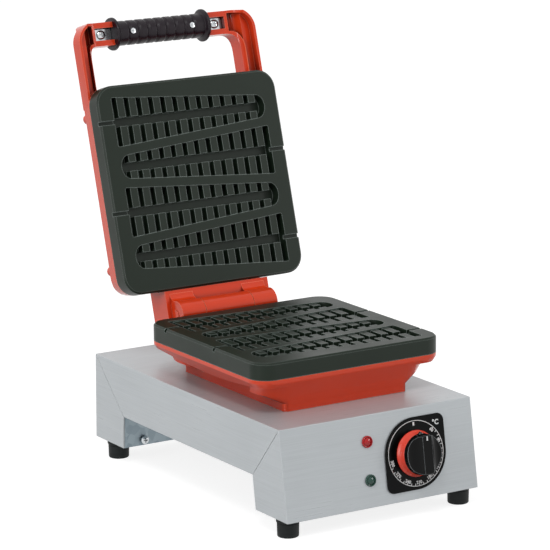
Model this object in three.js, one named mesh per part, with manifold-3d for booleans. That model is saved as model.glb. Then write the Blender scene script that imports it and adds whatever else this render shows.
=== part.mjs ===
// A countertop maker for waffles on sticks: a folded steel base, a cast lower
// housing and lid with ribbed tapered moulds, a rear hinge and a front grip.
// Millimetres, +Z up, the front towards -Y. The lid is shown open, on its stop.
import * as THREE from 'three';
import { mergeVertices } from 'three/addons/utils/BufferGeometryUtils.js';
import Module from 'manifold-3d';

const wasm = await Module();
wasm.setup();

// Clearances and shared small sizes
const gap = 0.3;
const overrun = 2;
const mergeDistance = 0.0001;
const roundSteps = 16;
const fineSteps = 24;
const hingeSteps = 24;
const screwSteps = 8;
const cornerSteps = 4;

// Folded steel base
const baseWidth = 240;
const baseDepth = 386;
const baseHeight = 115.5;
const frontLean = 15.3;
const rearLean = 2.3;
const sheet = 1.5;
const archRise = 36.6;
const frontLegTop = 52;
const frontLegFoot = 61.6;
const rearLegTop = 62.1;
const rearLegFoot = 62;
const seamWidth = 0.6;
const seamStop = 3.5;
const panSheet = 1;

// Rubber feet and their screws
const footHeight = 19;
const footTopRadius = 12.6;
const footBottomRadius = 11.4;
const footRound = 1.2;
const footInsetX = 12.6;
const footFrontY = 3.5;
const footRearInset = 27;
const footRecessRadius = 6;
const footRecessDepth = 7;
const screwRadius = 2.4;
const screwHeadRadius = 4.6;
const screwHeadHeight = 3;
const headTopShare = 0.55;
const headSideShare = 0.9;
const headSideHeightShare = 0.6;
const footScrewReach = 8;
const riserScrewInset = 26;
const riserScrewHeight = 6.6;
const riserScrewLength = 9;

// Controls on the sloped front, from the middle of its top edge
const dialX = 43.8;
const dialDrop = 49;
const dialRadius = 38.4;
const dialCorner = 8;
const dialThickness = 1.6;
const dialBevel = 0.5;
const dialBoreRadius = 6;
const ringRadius = 24.7;
const ringBoreRadius = 17;
const ringHeight = 9.3;
const ringTopRadius = 20.6;
const ringEdge = 1.2;
const lampX = -14.6;
const lampRedDrop = 27.9;
const lampGreenDrop = 68.7;
const lampRadius = 6.4;
const lampRim = 1.2;
const lampDome = 2.2;
const lampDomeShares = [[0.7, 0.6], [0.5, 0.9]];
const lampBodyRadius = 5;
const lampBodyLength = 24;
const lampNeckRadius = 3.5;
const lampNeckLength = 9.6;
const knobRadius = 22;
const knobTopRadius = 21;
const knobStandoff = 12;
const knobHeight = 13.5;
const knobEdge = 0.8;
const knobBarWidth = 9;
const knobScoopRadius = 13;
const knobScoopDepth = 7.5;
const knobPeak = 2;
const knobPeakWidth = 9;
const knobPeakHeight = 3;
const knobBoreDepth = 7;
const shaftRadius = 3;
const bushRadius = 4.8;
const bushLength = 5;
const bushClearance = 0.4;
const thermostatWidth = 46;
const thermostatHeight = 36;
const thermostatDepth = 26;
const thermostatTab = 7;

// Mould plates
const plateWidth = 232;
const plateDepth = 233.2;
const plateThickness = 18.5;
const plateCorner = 21;
const plateBevel = 2;
const plateFront = 42.9;
const plateRise = 58.6;
const closedGap = 0.5;

// Waffle moulds: tapered pockets across the plate, with ribs on both sides
const mouldCount = 4;
const mouldPitch = 50.4;
const mouldMargin = 18.5;
const mouldWideHalf = 27.5;
const mouldNarrowHalf = 13.4;
const mouldNarrowInset = 11;
const mouldDepth = 11.5;
const mouldDraft = 1.1;
const mouldCorner = 2.5;
const ribCount = 12;
const ribWidth = 8.9;
const ribFirstInset = 7;
const ribLastInset = 10.8;
const ribSink = 1.4;
const channelHalf = 4.9;
const stickSlotHalf = 2.2;
const stickSlotDepth = 4.5;

// Lower cast housing
const rimDrop = 4;
const bandSlope = 0.8;
const bandDrop = 13;
const bandEndDrop = 5;
const sideSteps = 8;
const faceInset = 9.2;
const noseInset = 14.5;
const noseDrop = 17.8;
const noseCorner = 26;
const noseReach = 36;
const noseHeel = 20;
const pedestalSideInset = 38.5;
const pedestalFrontInset = 12.3;
const pedestalRearInset = 13.4;
const pedestalCorner = 6;
const pedestalHeight = 8.2;
const castWall = 6;
const wireHoleRadius = 22;
const casingBoltX = 55;
const casingBoltInset = 25;
const casingBoltReach = 4;

// Hinge
const hingeSetback = 28;
const hingeDrop = 5.4;
const hingeRadius = 15;
const shoulderOutShare = 0.85;
const shoulderUpShare = 0.45;
const throatShare = 0.6;
const barrelHalf = 31;
const knuckleWidth = 30;
const hingeSideGap = 0.5;
const hingeTurnGap = 0.6;
const pinRadius = 5;
const pinBoreRadius = 5.4;
const bracketHalf = 67;
const bracketFaceRise = 3;
const stopReach = 36;
const stopThickness = 10;
const stopHeel = 12;
const armDepth = 27;
const lidAngle = 106.2;

// Lid casting
const lidCasingDepth = 17;
const lidTaper = 1.5;
const lidEdge = 1.8;
const lidCavityDepth = 11;
const lugRadius = 5.6;
const lugHeight = 4.2;
const lugInset = 7;
const lugEndInset = 31;
const bossBoltRadius = 3.6;
const bossBoltHeight = 3.2;
const bossBoltEdge = 1;
const bossBoltSides = 6;

// Handle arms, in the closed lid: their reach is past the front of the plate
const armWidth = 17.5;
const armFace = 1.8;
const armBack = 17.4;
const armFlange = 3;
const armWeb = 6;
const armStraight = 28.8;
const armReach = 75.1;
const armLevel = 13;
const armCorner = 24;
const armTipInset = 29.5;
const stubHeight = 26.5;
const stubDepth = 16;
const stubRecess = 6.5;
const gripDrop = 13.2;
const gripRise = 24.5;

// Grip and its steel strap
const gripTipGap = 24.5;
const gripRadius = 14;
const gripFlangeRadius = 18.6;
const gripFlange = 3;
const gripFlare = 2.4;
const gripFlangeRound = 1;
const gripGrooves = 8;
const gripGrooveInset = 18.5;
const gripGrooveDepth = 1.1;
const gripGrooveWidth = 3.2;
const strapTipInset = 1;
const strapWidth = 13.4;
const strapThickness = 3;
const strapBoltInset = 10;
const strapBoltRadius = 3;
const strapHeadRadius = 5;
const strapHeadHeight = 2.6;
const strapNutRadius = 5.6;
const strapNutHeight = 4.4;
const strapNutSides = 6;
const gripScrewInset = 22;
const gripScrewRadius = 1.6;
const gripScrewHeadRadius = 3.2;
const gripScrewHeadHeight = 1.2;

// Heaters and wiring pieces
const heaterRadius = 3.3;
const heaterSideGap = 9.5;
const heaterEndGap = 19.5;
const heaterBend = 14;
const heaterSteps = 32;
const heaterArcSteps = 3;
const bulbRadius = 3;
const bulbSideGap = 13;
const bulbPast = 7;
const bulbOffset = 10;
const terminalLength = 60;
const terminalWidth = 22;
const terminalHeight = 16;
const terminalSlots = 5;
const terminalSlotShare = 0.64;
const terminalFloorShare = 0.55;
const terminalY = 250;
const glandInset = 48;
const glandDrop = 62;
const glandRadius = 9;
const glandFlangeRadius = 12.5;
const glandFlange = 5;
const glandCap = 11;
const glandCapRadius = 8;
const glandTaper = 3.3;
const glandTopRadius = 5.6;
const glandBore = 3.6;

// Places worked out from the sizes above
const legBottom = footHeight;
const archTop = footHeight + archRise;
const halfBase = baseWidth / 2;
const slope = Math.atan2(frontLean, baseHeight - legBottom);
const riserScrewX = halfBase - riserScrewInset;
const halfPlate = plateWidth / 2;
const plateRear = plateFront + plateDepth;
const plateMiddle = plateFront + plateDepth / 2;
const plateFace = baseHeight + plateRise;
const mouldLength = plateWidth - 2 * mouldMargin;
const ribPitch = (mouldLength - ribFirstInset - ribLastInset - ribWidth) / (ribCount - 1);
const pedestalWidth = plateWidth - 2 * pedestalSideInset;
const pedestalFront = plateFront + pedestalFrontInset;
const pedestalRear = plateRear - pedestalRearInset;
const casingTop = plateFace - plateThickness - gap;
const casingBottom = baseHeight + gap;
const glandX = glandInset - halfBase;
const hingeY = plateRear + hingeSetback;
const hingeZ = plateFace - hingeDrop;
const lidFace = plateFace + closedGap;
const lidBack = lidFace + plateThickness + gap + lidCasingDepth;
const heaterSpan = pedestalWidth / 2 - castWall - heaterSideGap;
const heaterReach = (pedestalRear - pedestalFront) / 2 - castWall - heaterEndGap;
const armTip = halfPlate - lidTaper - armTipInset;
const gripHalf = armTip - gripTipGap;
const gripScrewX = gripHalf - gripScrewInset;
const strapHalf = armTip - strapTipInset;
const strapBoltX = strapHalf - strapBoltInset;

const finishes = {
  steel: new THREE.MeshStandardMaterial({ color: 0xb9bfc2, roughness: 0.38, metalness: 0.9 }),
  zinc: new THREE.MeshStandardMaterial({ color: 0x8d9aa1, roughness: 0.45, metalness: 0.8 }),
  bright: new THREE.MeshStandardMaterial({ color: 0xd2d6d8, roughness: 0.22, metalness: 0.95 }),
  red: new THREE.MeshStandardMaterial({ color: 0xd8432a, roughness: 0.42, metalness: 0.1 }),
  iron: new THREE.MeshStandardMaterial({ color: 0x2f3532, roughness: 0.55, metalness: 0.2 }),
  rubber: new THREE.MeshStandardMaterial({ color: 0x1a1e1e, roughness: 0.75, metalness: 0 }),
  grip: new THREE.MeshStandardMaterial({ color: 0x1f1720, roughness: 0.5, metalness: 0 }),
  black: new THREE.MeshStandardMaterial({ color: 0x101112, roughness: 0.2, metalness: 0 }),
  orange: new THREE.MeshStandardMaterial({ color: 0xf0452c, roughness: 0.35, metalness: 0 }),
  redLens: new THREE.MeshStandardMaterial({ color: 0xc81e23, roughness: 0.15, metalness: 0 }),
  greenLens: new THREE.MeshStandardMaterial({ color: 0x2d554b, roughness: 0.15, metalness: 0 }),
  cream: new THREE.MeshStandardMaterial({ color: 0xd8d2c0, roughness: 0.6, metalness: 0 }),
};

const group = new THREE.Group();

// A closed geometry as a solid that can be joined and cut
function solid(geometry) {
  const bare = geometry.index ? geometry.toNonIndexed() : geometry.clone();
  bare.deleteAttribute('normal');
  bare.deleteAttribute('uv');
  const merged = mergeVertices(bare, mergeDistance);
  return new wasm.Manifold(new wasm.Mesh({
    numProp: 3,
    vertProperties: new Float32Array(merged.attributes.position.array),
    triVerts: new Uint32Array(merged.index.array),
  }));
}

// A solid back as a geometry
function skin(body) {
  const mesh = body.getMesh();
  const geometry = new THREE.BufferGeometry();
  geometry.setAttribute('position', new THREE.BufferAttribute(mesh.vertProperties, 3));
  geometry.setIndex(new THREE.BufferAttribute(mesh.triVerts, 1));
  geometry.computeVertexNormals();
  return geometry;
}

function joined(bodies) {
  return bodies.reduce((whole, body) => whole.add(body));
}

function cut(body, tools) {
  return tools.reduce((rest, tool) => rest.subtract(tool), body);
}

// A piece in its own named mesh
function piece(name, shape, finish, parent = group) {
  const geometry = shape.isBufferGeometry ? shape : skin(shape);
  const mesh = new THREE.Mesh(geometry, finish);
  mesh.name = name;
  parent.add(mesh);
  return mesh;
}

// The outline through points given as [u, v]
function outline(points) {
  return new THREE.Shape(points.map(([u, v]) => new THREE.Vector2(u, v)));
}

// A rectangle with round corners, from its low corner to its high one
function roundedRect(x0, y0, x1, y1, radius) {
  const shape = new THREE.Shape();
  shape.moveTo(x0 + radius, y0);
  shape.lineTo(x1 - radius, y0);
  shape.absarc(x1 - radius, y0 + radius, radius, -Math.PI / 2, 0);
  shape.lineTo(x1, y1 - radius);
  shape.absarc(x1 - radius, y1 - radius, radius, 0, Math.PI / 2);
  shape.lineTo(x0 + radius, y1);
  shape.absarc(x0 + radius, y1 - radius, radius, Math.PI / 2, Math.PI);
  shape.lineTo(x0, y0 + radius);
  shape.absarc(x0 + radius, y0 + radius, radius, Math.PI, Math.PI * 1.5);
  return shape;
}

// Outlines drawn on one of the three planes and pushed along the third axis
function pushed(shape, depth, curveSegments) {
  return new THREE.ExtrudeGeometry(shape, { depth, curveSegments, bevelEnabled: false });
}

function alongZ(shape, z0, z1, steps = cornerSteps) {
  return solid(pushed(shape, z1 - z0, steps).translate(0, 0, z0));
}

function alongX(shape, x0, x1, steps = cornerSteps) {
  const turn = new THREE.Matrix4().makeBasis(
    new THREE.Vector3(0, 1, 0),
    new THREE.Vector3(0, 0, 1),
    new THREE.Vector3(1, 0, 0),
  );
  return solid(pushed(shape, x1 - x0, steps).applyMatrix4(turn).translate(x0, 0, 0));
}

function alongY(shape, y0, y1, steps = cornerSteps) {
  return solid(pushed(shape, y1 - y0, steps).rotateX(Math.PI / 2).translate(0, y1, 0));
}

function box(x0, y0, z0, x1, y1, z1) {
  const geometry = new THREE.BoxGeometry(x1 - x0, y1 - y0, z1 - z0);
  return solid(geometry.translate((x0 + x1) / 2, (y0 + y1) / 2, (z0 + z1) / 2));
}

// A profile of [radius, height] turned about the Z axis
function turned(profile, steps = roundSteps) {
  const points = profile.map(([radius, height]) => new THREE.Vector2(radius, height));
  return new THREE.LatheGeometry(points, steps).rotateX(Math.PI / 2);
}

function rodZ(x, y, z0, z1, radius, steps = roundSteps) {
  const geometry = new THREE.CylinderGeometry(radius, radius, z1 - z0, steps).rotateX(Math.PI / 2);
  return solid(geometry.translate(x, y, (z0 + z1) / 2));
}

function rodX(y, z, x0, x1, radius, steps = roundSteps) {
  const geometry = new THREE.CylinderGeometry(radius, radius, x1 - x0, steps).rotateZ(Math.PI / 2);
  return solid(geometry.translate((x0 + x1) / 2, y, z));
}

// A skin through closed sections of equal point count, capped at both ends
function loft(sections) {
  const count = sections[0].length;
  const positions = sections.flatMap((section) => section.flatMap((point) => [point.x, point.y, point.z]));
  const index = [];
  for (let level = 0; level < sections.length - 1; level += 1) {
    for (let i = 0; i < count; i += 1) {
      const a = level * count + i;
      const b = level * count + (i + 1) % count;
      index.push(a, b, b + count, a, b + count, a + count);
    }
  }
  const flat = sections[0].map((point) => new THREE.Vector2(point.x, point.y));
  const top = (sections.length - 1) * count;
  for (const [a, b, c] of THREE.ShapeUtils.triangulateShape(flat, [])) {
    index.push(a, c, b, top + a, top + b, top + c);
  }
  const geometry = new THREE.BufferGeometry();
  geometry.setAttribute('position', new THREE.Float32BufferAttribute(positions, 3));
  geometry.setIndex(index);
  return solid(geometry);
}

// A level section of a loft with round corners, centred on the plate
function section(width, depth, radius, z, steps = cornerSteps) {
  const points = [];
  for (let quarter = 0; quarter < 4; quarter += 1) {
    const signX = quarter === 0 || quarter === 3 ? 1 : -1;
    const signY = quarter < 2 ? 1 : -1;
    for (let i = 0; i <= steps; i += 1) {
      const angle = (quarter + i / steps) * Math.PI / 2;
      points.push(new THREE.Vector3(
        signX * (width / 2 - radius) + radius * Math.cos(angle),
        plateMiddle + signY * (depth / 2 - radius) + radius * Math.sin(angle),
        z,
      ));
    }
  }
  return points;
}

// The frame of the sloped front: X across, Y up the slope, Z out of it
const front = new THREE.Group();
front.rotation.x = Math.PI / 2 - slope;
front.position.set(0, 0, baseHeight);
front.updateMatrix();
group.add(front);

function onFront(geometry) {
  return solid(geometry.applyMatrix4(front.matrix));
}

function frontHole(x, drop, radius) {
  const depth = sheet + 2 * overrun;
  const geometry = new THREE.CylinderGeometry(radius, radius, depth, roundSteps).rotateX(Math.PI / 2);
  return onFront(geometry.translate(x, -drop, -sheet / 2));
}

// Folded steel base
const footPlaces = {
  front_left: [-halfBase + footInsetX, footFrontY],
  front_right: [halfBase - footInsetX, footFrontY],
  rear_left: [-halfBase + footInsetX, baseDepth - footRearInset],
  rear_right: [halfBase - footInsetX, baseDepth - footRearInset],
};
const frontLegInner = -frontLean + frontLegFoot;
const rearLegInner = baseDepth + rearLean - rearLegFoot;
const casingBoltPlaces = [-1, 1].flatMap((sideX) => [
  [sideX * casingBoltX, pedestalFront + casingBoltInset],
  [sideX * casingBoltX, pedestalRear - casingBoltInset],
]);

// The open mitre between the side of the top and the side of a leg
function mitreSlit(y0, z0, y1, z1) {
  const along = new THREE.Vector2(y1 - y0, z1 - z0);
  const length = along.length();
  along.normalize();
  const across = new THREE.Vector2(-along.y, along.x).multiplyScalar(seamWidth / 2);
  const start = -overrun;
  const end = length - seamStop;
  const corner = (distance, side) => [
    y0 + along.x * distance + across.x * side,
    z0 + along.y * distance + across.y * side,
  ];
  const shape = outline([corner(start, -1), corner(end, -1), corner(end, 1), corner(start, 1)]);
  return [-1, 1].map((side) => {
    const inner = side * (halfBase - sheet - overrun / 2);
    const outer = side * (halfBase + overrun);
    return alongX(shape, Math.min(inner, outer), Math.max(inner, outer));
  });
}

function housing() {
  const outside = alongX(outline([
    [0, baseHeight],
    [-frontLean, legBottom],
    [frontLegInner, legBottom],
    [frontLegTop, archTop],
    [baseDepth - rearLegTop, archTop],
    [rearLegInner, legBottom],
    [baseDepth + rearLean, legBottom],
    [baseDepth, baseHeight],
  ]), -halfBase, halfBase);
  const leanPerHeight = frontLean / (baseHeight - legBottom);
  const rearPerHeight = rearLean / (baseHeight - legBottom);
  const low = legBottom - overrun;
  const high = baseHeight - sheet;
  const inside = alongX(outline([
    [sheet - leanPerHeight * (baseHeight - high), high],
    [sheet - leanPerHeight * (baseHeight - low), low],
    [baseDepth - sheet + rearPerHeight * (baseHeight - low), low],
    [baseDepth - sheet + rearPerHeight * (baseHeight - high), high],
  ]), -halfBase + sheet, halfBase - sheet);
  const slits = [
    ...mitreSlit(frontLegTop, archTop, 0, baseHeight),
    ...mitreSlit(baseDepth - rearLegTop, archTop, baseDepth, baseHeight),
  ];
  const holes = [
    frontHole(dialX, dialDrop, bushRadius + gap),
    frontHole(lampX, lampRedDrop, lampBodyRadius + gap),
    frontHole(lampX, lampGreenDrop, lampBodyRadius + gap),
    rodZ(0, plateMiddle, baseHeight - sheet - overrun, baseHeight + overrun, wireHoleRadius),
    ...casingBoltPlaces.map(([x, y]) => rodZ(
      x, y, baseHeight - sheet - overrun, baseHeight + overrun, screwRadius + gap, screwSteps)),
    glandPlaced(turned([
      [0, -overrun - sheet],
      [glandRadius + gap, -overrun - sheet],
      [glandRadius + gap, overrun],
      [0, overrun],
    ])),
  ];
  return cut(outside, [inside, ...slits, ...holes]);
}

// Moves a shape turned about Z to the cable gland's place on the rear
function glandPlaced(geometry) {
  const rearSlope = Math.atan2(rearLean, baseHeight - legBottom);
  const turn = new THREE.Matrix4().makeRotationX(-Math.PI / 2 + rearSlope);
  const y = baseDepth + glandDrop * Math.tan(rearSlope);
  turn.setPosition(glandX, y, baseHeight - glandDrop);
  return solid(geometry.applyMatrix4(turn));
}

function basePan() {
  const inner = halfBase - sheet - gap;
  const leanPerHeight = frontLean / (baseHeight - legBottom);
  const frontEdge = -frontLean + sheet + gap + leanPerHeight * panSheet;
  const rearEdge = baseDepth + rearLean - sheet - 2 * gap;
  const low = legBottom;
  const pan = alongX(outline([
    [frontEdge, low],
    [frontLegInner, low],
    [frontLegTop, archTop],
    [baseDepth - rearLegTop, archTop],
    [rearLegInner, low],
    [rearEdge, low],
    [rearEdge, low + panSheet],
    [rearLegInner + panSheet, low + panSheet],
    [baseDepth - rearLegTop + panSheet, archTop + panSheet],
    [frontLegTop - panSheet, archTop + panSheet],
    [frontLegInner - panSheet, low + panSheet],
    [frontEdge, low + panSheet],
  ]), -inner, inner);
  const footHoles = Object.values(footPlaces).map(([x, y]) => rodZ(
    x, y, low - overrun, low + panSheet + overrun, screwRadius + gap, screwSteps));
  const riserHoles = Object.values(riserScrewPlaces()).map(({ place, turn }) => {
    const depth = 2 * (panSheet + overrun);
    const geometry = new THREE.CylinderGeometry(screwRadius + gap, screwRadius + gap, depth, screwSteps);
    geometry.rotateX(Math.PI / 2 + turn);
    return solid(geometry.translate(place.x, place.y, place.z));
  });
  return cut(pan, [...footHoles, ...riserHoles]);
}

// Places of the screws in the two risers, and the turn that sends each one
// square through its riser into the leg
function riserScrewPlaces() {
  const share = riserScrewHeight / archRise;
  const risers = {
    front: [frontLegInner, frontLegTop, -1],
    rear: [rearLegInner, baseDepth - rearLegTop, 1],
  };
  const places = {};
  for (const [end, [low, high, way]] of Object.entries(risers)) {
    const turn = Math.atan2(-way * archRise, way * (low - high));
    for (const [name, side] of [['left', -1], ['right', 1]]) {
      const y = low + (high - low) * share;
      const place = new THREE.Vector3(side * riserScrewX, y, legBottom + riserScrewHeight);
      places[`${end}_${name}`] = { place, turn };
    }
  }
  return places;
}

function foot() {
  const top = footHeight - gap;
  return turned([
    [screwRadius + gap, footRecessDepth],
    [footRecessRadius, footRecessDepth],
    [footRecessRadius, 0],
    [footBottomRadius - footRound, 0],
    [footBottomRadius, footRound],
    [footTopRadius, top - footRound],
    [footTopRadius, top],
    [screwRadius + gap, top],
    [screwRadius + gap, footRecessDepth],
  ]);
}

// A round-headed screw along +Z, its seat at zero and its head below
function screw(radius, length, headRadius, headHeight) {
  return turned([
    [0, -headHeight],
    [headRadius * headTopShare, -headHeight],
    [headRadius * headSideShare, -headHeight * headSideHeightShare],
    [headRadius, 0],
    [radius, 0],
    [radius, length],
    [0, length],
  ], screwSteps);
}

piece('housing', housing(), finishes.steel);
piece('base_pan', basePan(), finishes.zinc);
for (const [name, [x, y]] of Object.entries(footPlaces)) {
  piece(`foot_${name}`, foot(), finishes.rubber).position.set(x, y, 0);
  const length = footHeight - footRecessDepth + footScrewReach;
  const footScrew = piece(`foot_screw_${name}`,
    screw(screwRadius, length, screwHeadRadius, screwHeadHeight), finishes.zinc);
  footScrew.position.set(x, y, footRecessDepth - gap);
}
for (const [name, { place, turn }] of Object.entries(riserScrewPlaces())) {
  const riserScrew = piece(`riser_screw_${name}`,
    screw(screwRadius, riserScrewLength, screwHeadRadius, screwHeadHeight), finishes.bright);
  riserScrew.rotation.x = turn;
  riserScrew.position.copy(place);
  riserScrew.translateZ(-gap);
}

// Controls
function bezel() {
  const shape = new THREE.Shape();
  const r = dialRadius;
  shape.moveTo(0, -r);
  shape.absarc(0, 0, r, -Math.PI / 2, 0);
  shape.lineTo(r, r - dialCorner);
  shape.absarc(r - dialCorner, r - dialCorner, dialCorner, 0, Math.PI / 2);
  shape.lineTo(0, r);
  shape.absarc(0, 0, r, Math.PI / 2, Math.PI);
  shape.lineTo(-r, -r + dialCorner);
  shape.absarc(-r + dialCorner, -r + dialCorner, dialCorner, Math.PI, Math.PI * 1.5);
  const bore = new THREE.Path();
  bore.absarc(0, 0, dialBoreRadius, 0, Math.PI * 2, true);
  shape.holes.push(bore);
  const geometry = new THREE.ExtrudeGeometry(shape, {
    depth: dialThickness - dialBevel,
    bevelEnabled: true,
    bevelThickness: dialBevel,
    bevelSize: dialBevel,
    bevelOffset: -dialBevel,
    bevelSegments: 1,
    curveSegments: screwSteps,
  });
  const plate = solid(geometry);
  return plate.subtract(box(-2 * r, -2 * r, -dialThickness, 2 * r, 2 * r, 0));
}

// A flared collar, its wide end on the dial plate and the knob over it
function dialRing() {
  const low = dialThickness + 2 * gap;
  const high = low + ringHeight;
  return turned([
    [ringBoreRadius, low],
    [ringRadius, low],
    [ringRadius, low + ringEdge],
    [ringTopRadius, high - ringEdge],
    [ringTopRadius - ringEdge, high],
    [ringBoreRadius, high],
    [ringBoreRadius, low],
  ], fineSteps);
}

function lampLens() {
  return turned([
    [0, gap],
    [lampRadius, gap],
    [lampRadius, lampRim],
    [lampRadius - lampRim, lampRim + gap],
    ...lampDomeShares.map(([out, up]) => [lampRadius * out, lampRim + lampDome * up]),
    [0, lampRim + lampDome],
  ]);
}

function lampBody() {
  return turned([
    [0, -lampBodyLength],
    [lampNeckRadius, -lampBodyLength],
    [lampNeckRadius, lampNeckLength - lampBodyLength],
    [lampBodyRadius, lampNeckLength - lampBodyLength],
    [lampBodyRadius, 0],
    [0, 0],
  ], screwSteps);
}

function thermostat() {
  const back = -sheet - gap;
  const body = box(-thermostatWidth / 2, -thermostatHeight / 2, back - thermostatDepth,
    thermostatWidth / 2, thermostatHeight / 2, back - thermostatTab / 2);
  const tabs = box(-thermostatWidth / 2 - thermostatTab, -thermostatTab, back - thermostatTab / 2 - overrun,
    thermostatWidth / 2 + thermostatTab, thermostatTab, back - thermostatTab / 2);
  const bush = rodZ(0, 0, back - thermostatTab, back + bushLength, bushRadius);
  const boreTop = back + bushLength + overrun;
  const bore = rodZ(0, 0, back - thermostatDepth / 2, boreTop, shaftRadius + bushClearance);
  return joined([body, tabs, bush]).subtract(bore);
}

// A round knob with a finger scoop on each side of its grip bar and a peak
// that points at the scale
function knob() {
  const low = knobStandoff;
  const high = low + knobHeight;
  const body = solid(turned([
    [0, low],
    [knobRadius - knobEdge, low],
    [knobRadius, low + knobEdge],
    [knobTopRadius, high - knobEdge],
    [knobTopRadius - knobEdge, high],
    [0, high],
  ], fineSteps));
  const scoopX = knobBarWidth / 2 + knobScoopRadius;
  const scoopZ = high + knobScoopRadius - knobScoopDepth;
  const scoopReach = 2 * knobRadius + overrun;
  const scoop = new THREE.CylinderGeometry(knobScoopRadius, knobScoopRadius, scoopReach, roundSteps);
  const scoops = [-1, 1].map((side) => solid(scoop.clone().translate(side * scoopX, 0, scoopZ)));
  const peak = alongZ(outline([
    [-knobPeakWidth / 2, knobRadius - knobPeak],
    [knobPeakWidth / 2, knobRadius - knobPeak],
    [0, knobRadius + knobPeak],
  ]), low, low + knobPeakHeight);
  const bore = rodZ(0, 0, low - overrun, low + knobBoreDepth, shaftRadius + gap);
  return cut(joined([body, peak]), [...scoops, bore]);
}

function knobShaft() {
  return rodZ(0, 0, gap - sheet - thermostatDepth / 2, knobStandoff + knobBoreDepth - gap, shaftRadius);
}

function placeOnFront(mesh, x, drop, lift = 0) {
  mesh.position.set(x, -drop, lift);
}

placeOnFront(piece('dial_bezel', bezel(), finishes.black, front), dialX, dialDrop, gap);
placeOnFront(piece('dial_ring', dialRing(), finishes.orange, front), dialX, dialDrop);
placeOnFront(piece('thermostat', thermostat(), finishes.cream, front), dialX, dialDrop);
placeOnFront(piece('knob', knob(), finishes.black, front), dialX, dialDrop);
placeOnFront(piece('knob_shaft', knobShaft(), finishes.zinc, front), dialX, dialDrop);
for (const [colour, drop] of [['red', lampRedDrop], ['green', lampGreenDrop]]) {
  placeOnFront(piece(`lamp_lens_${colour}`, lampLens(), finishes[`${colour}Lens`], front), lampX, drop);
  placeOnFront(piece(`lamp_body_${colour}`, lampBody(), finishes.cream, front), lampX, drop);
}

// The mould plate, its face at zero and its body below; y runs along the plate
// from the hinge end (zero) to the grip end (-plateDepth)
function mouldOutline(inset) {
  const wideX = mouldLength / 2 - inset;
  const narrowX = -mouldLength / 2 + inset;
  const wide = mouldWideHalf - inset;
  const narrow = mouldNarrowHalf - inset;
  const taperX = narrowX + mouldNarrowInset;
  const corner = mouldCorner;
  const shape = new THREE.Shape();
  shape.moveTo(taperX, -narrow);
  shape.lineTo(wideX - corner, -wide);
  shape.quadraticCurveTo(wideX, -wide, wideX, -wide + corner);
  shape.lineTo(wideX, wide - corner);
  shape.quadraticCurveTo(wideX, wide, wideX - corner, wide);
  shape.lineTo(taperX, narrow);
  shape.absellipse(taperX, 0, taperX - narrowX, narrow, Math.PI / 2, Math.PI * 1.5);
  return shape.getPoints(cornerSteps);
}

// The hollow of one mould, its wide end towards +X: a drafted pocket with its
// ribs left standing, and the slot for the stick
function mouldHollow() {
  const level = (points, z) => points.slice(0, -1).map((point) => new THREE.Vector3(point.x, point.y, z));
  const slack = mouldDraft * overrun / mouldDepth;
  const pocket = loft([
    level(mouldOutline(mouldDraft), -mouldDepth),
    level(mouldOutline(-slack), overrun),
  ]);
  const ribs = [];
  for (let i = 0; i < ribCount; i += 1) {
    const x1 = mouldLength / 2 - ribFirstInset - i * ribPitch;
    const x0 = x1 - ribWidth;
    const low = -mouldDepth - overrun;
    ribs.push(box(x0, channelHalf, low, x1, mouldWideHalf + overrun, -ribSink));
    ribs.push(box(x0, -mouldWideHalf - overrun, low, x1, -channelHalf, -ribSink));
  }
  const slot = box(mouldLength / 2 - overrun, -stickSlotHalf, -stickSlotDepth,
    halfPlate + overrun, stickSlotHalf, overrun);
  return cut(pocket, ribs).add(slot);
}

function mouldPlate() {
  const bevelled = (inset, z) => {
    const points = section(plateWidth - 2 * inset, plateDepth - 2 * inset, plateCorner - inset, z);
    return points.map((point) => point.setY(point.y - plateMiddle - plateDepth / 2));
  };
  const slab = loft([bevelled(0, -plateThickness), bevelled(0, -plateBevel), bevelled(plateBevel, 0)]);
  const hollow = mouldHollow();
  const hollows = [];
  for (let i = 0; i < mouldCount; i += 1) {
    const y = -plateDepth / 2 + (i - (mouldCount - 1) / 2) * mouldPitch;
    const turnedHollow = i % 2 ? hollow.rotate([0, 0, 180]) : hollow;
    hollows.push(turnedHollow.translate([0, y, 0]));
  }
  return cut(slab, hollows);
}

const plate = mouldPlate();

// A bent heater rod that lies flat at z, centred on the plate, its two cold
// ends side by side
function heater(z) {
  const path = new THREE.CurvePath();
  const point = (x, y) => new THREE.Vector3(x, y, 0);
  const r = heaterBend;
  const x = heaterSpan;
  const y = heaterReach;
  const corner = (a, b, c) => {
    path.add(new THREE.QuadraticBezierCurve3(point(...a), point(...b), point(...c)));
  };
  const line = (a, b) => path.add(new THREE.LineCurve3(point(...a), point(...b)));
  line([-r, 0], [-r, y - r]);
  corner([-r, y - r], [-r, y], [-2 * r, y]);
  line([-2 * r, y], [-x + r, y]);
  corner([-x + r, y], [-x, y], [-x, y - r]);
  line([-x, y - r], [-x, -y + r]);
  corner([-x, -y + r], [-x, -y], [-x + r, -y]);
  line([-x + r, -y], [x - r, -y]);
  corner([x - r, -y], [x, -y], [x, -y + r]);
  line([x, -y + r], [x, y - r]);
  corner([x, y - r], [x, y], [x - r, y]);
  line([x - r, y], [2 * r, y]);
  corner([2 * r, y], [r, y], [r, y - r]);
  line([r, y - r], [r, 0]);
  const ring = new THREE.Shape();
  ring.absarc(0, 0, heaterRadius, 0, Math.PI * 2);
  const geometry = new THREE.ExtrudeGeometry(ring, {
    steps: heaterSteps, curveSegments: heaterArcSteps, bevelEnabled: false, extrudePath: path,
  });
  return solid(geometry.translate(0, plateMiddle, z));
}

// Heights in the lower housing, from its rim down to its pedestal
const rimZ = casingTop - rimDrop;
const bandZ = rimZ - bandEndDrop;
const noseZ = rimZ - noseDrop;
const pedestalZ = casingBottom + pedestalHeight;

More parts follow.
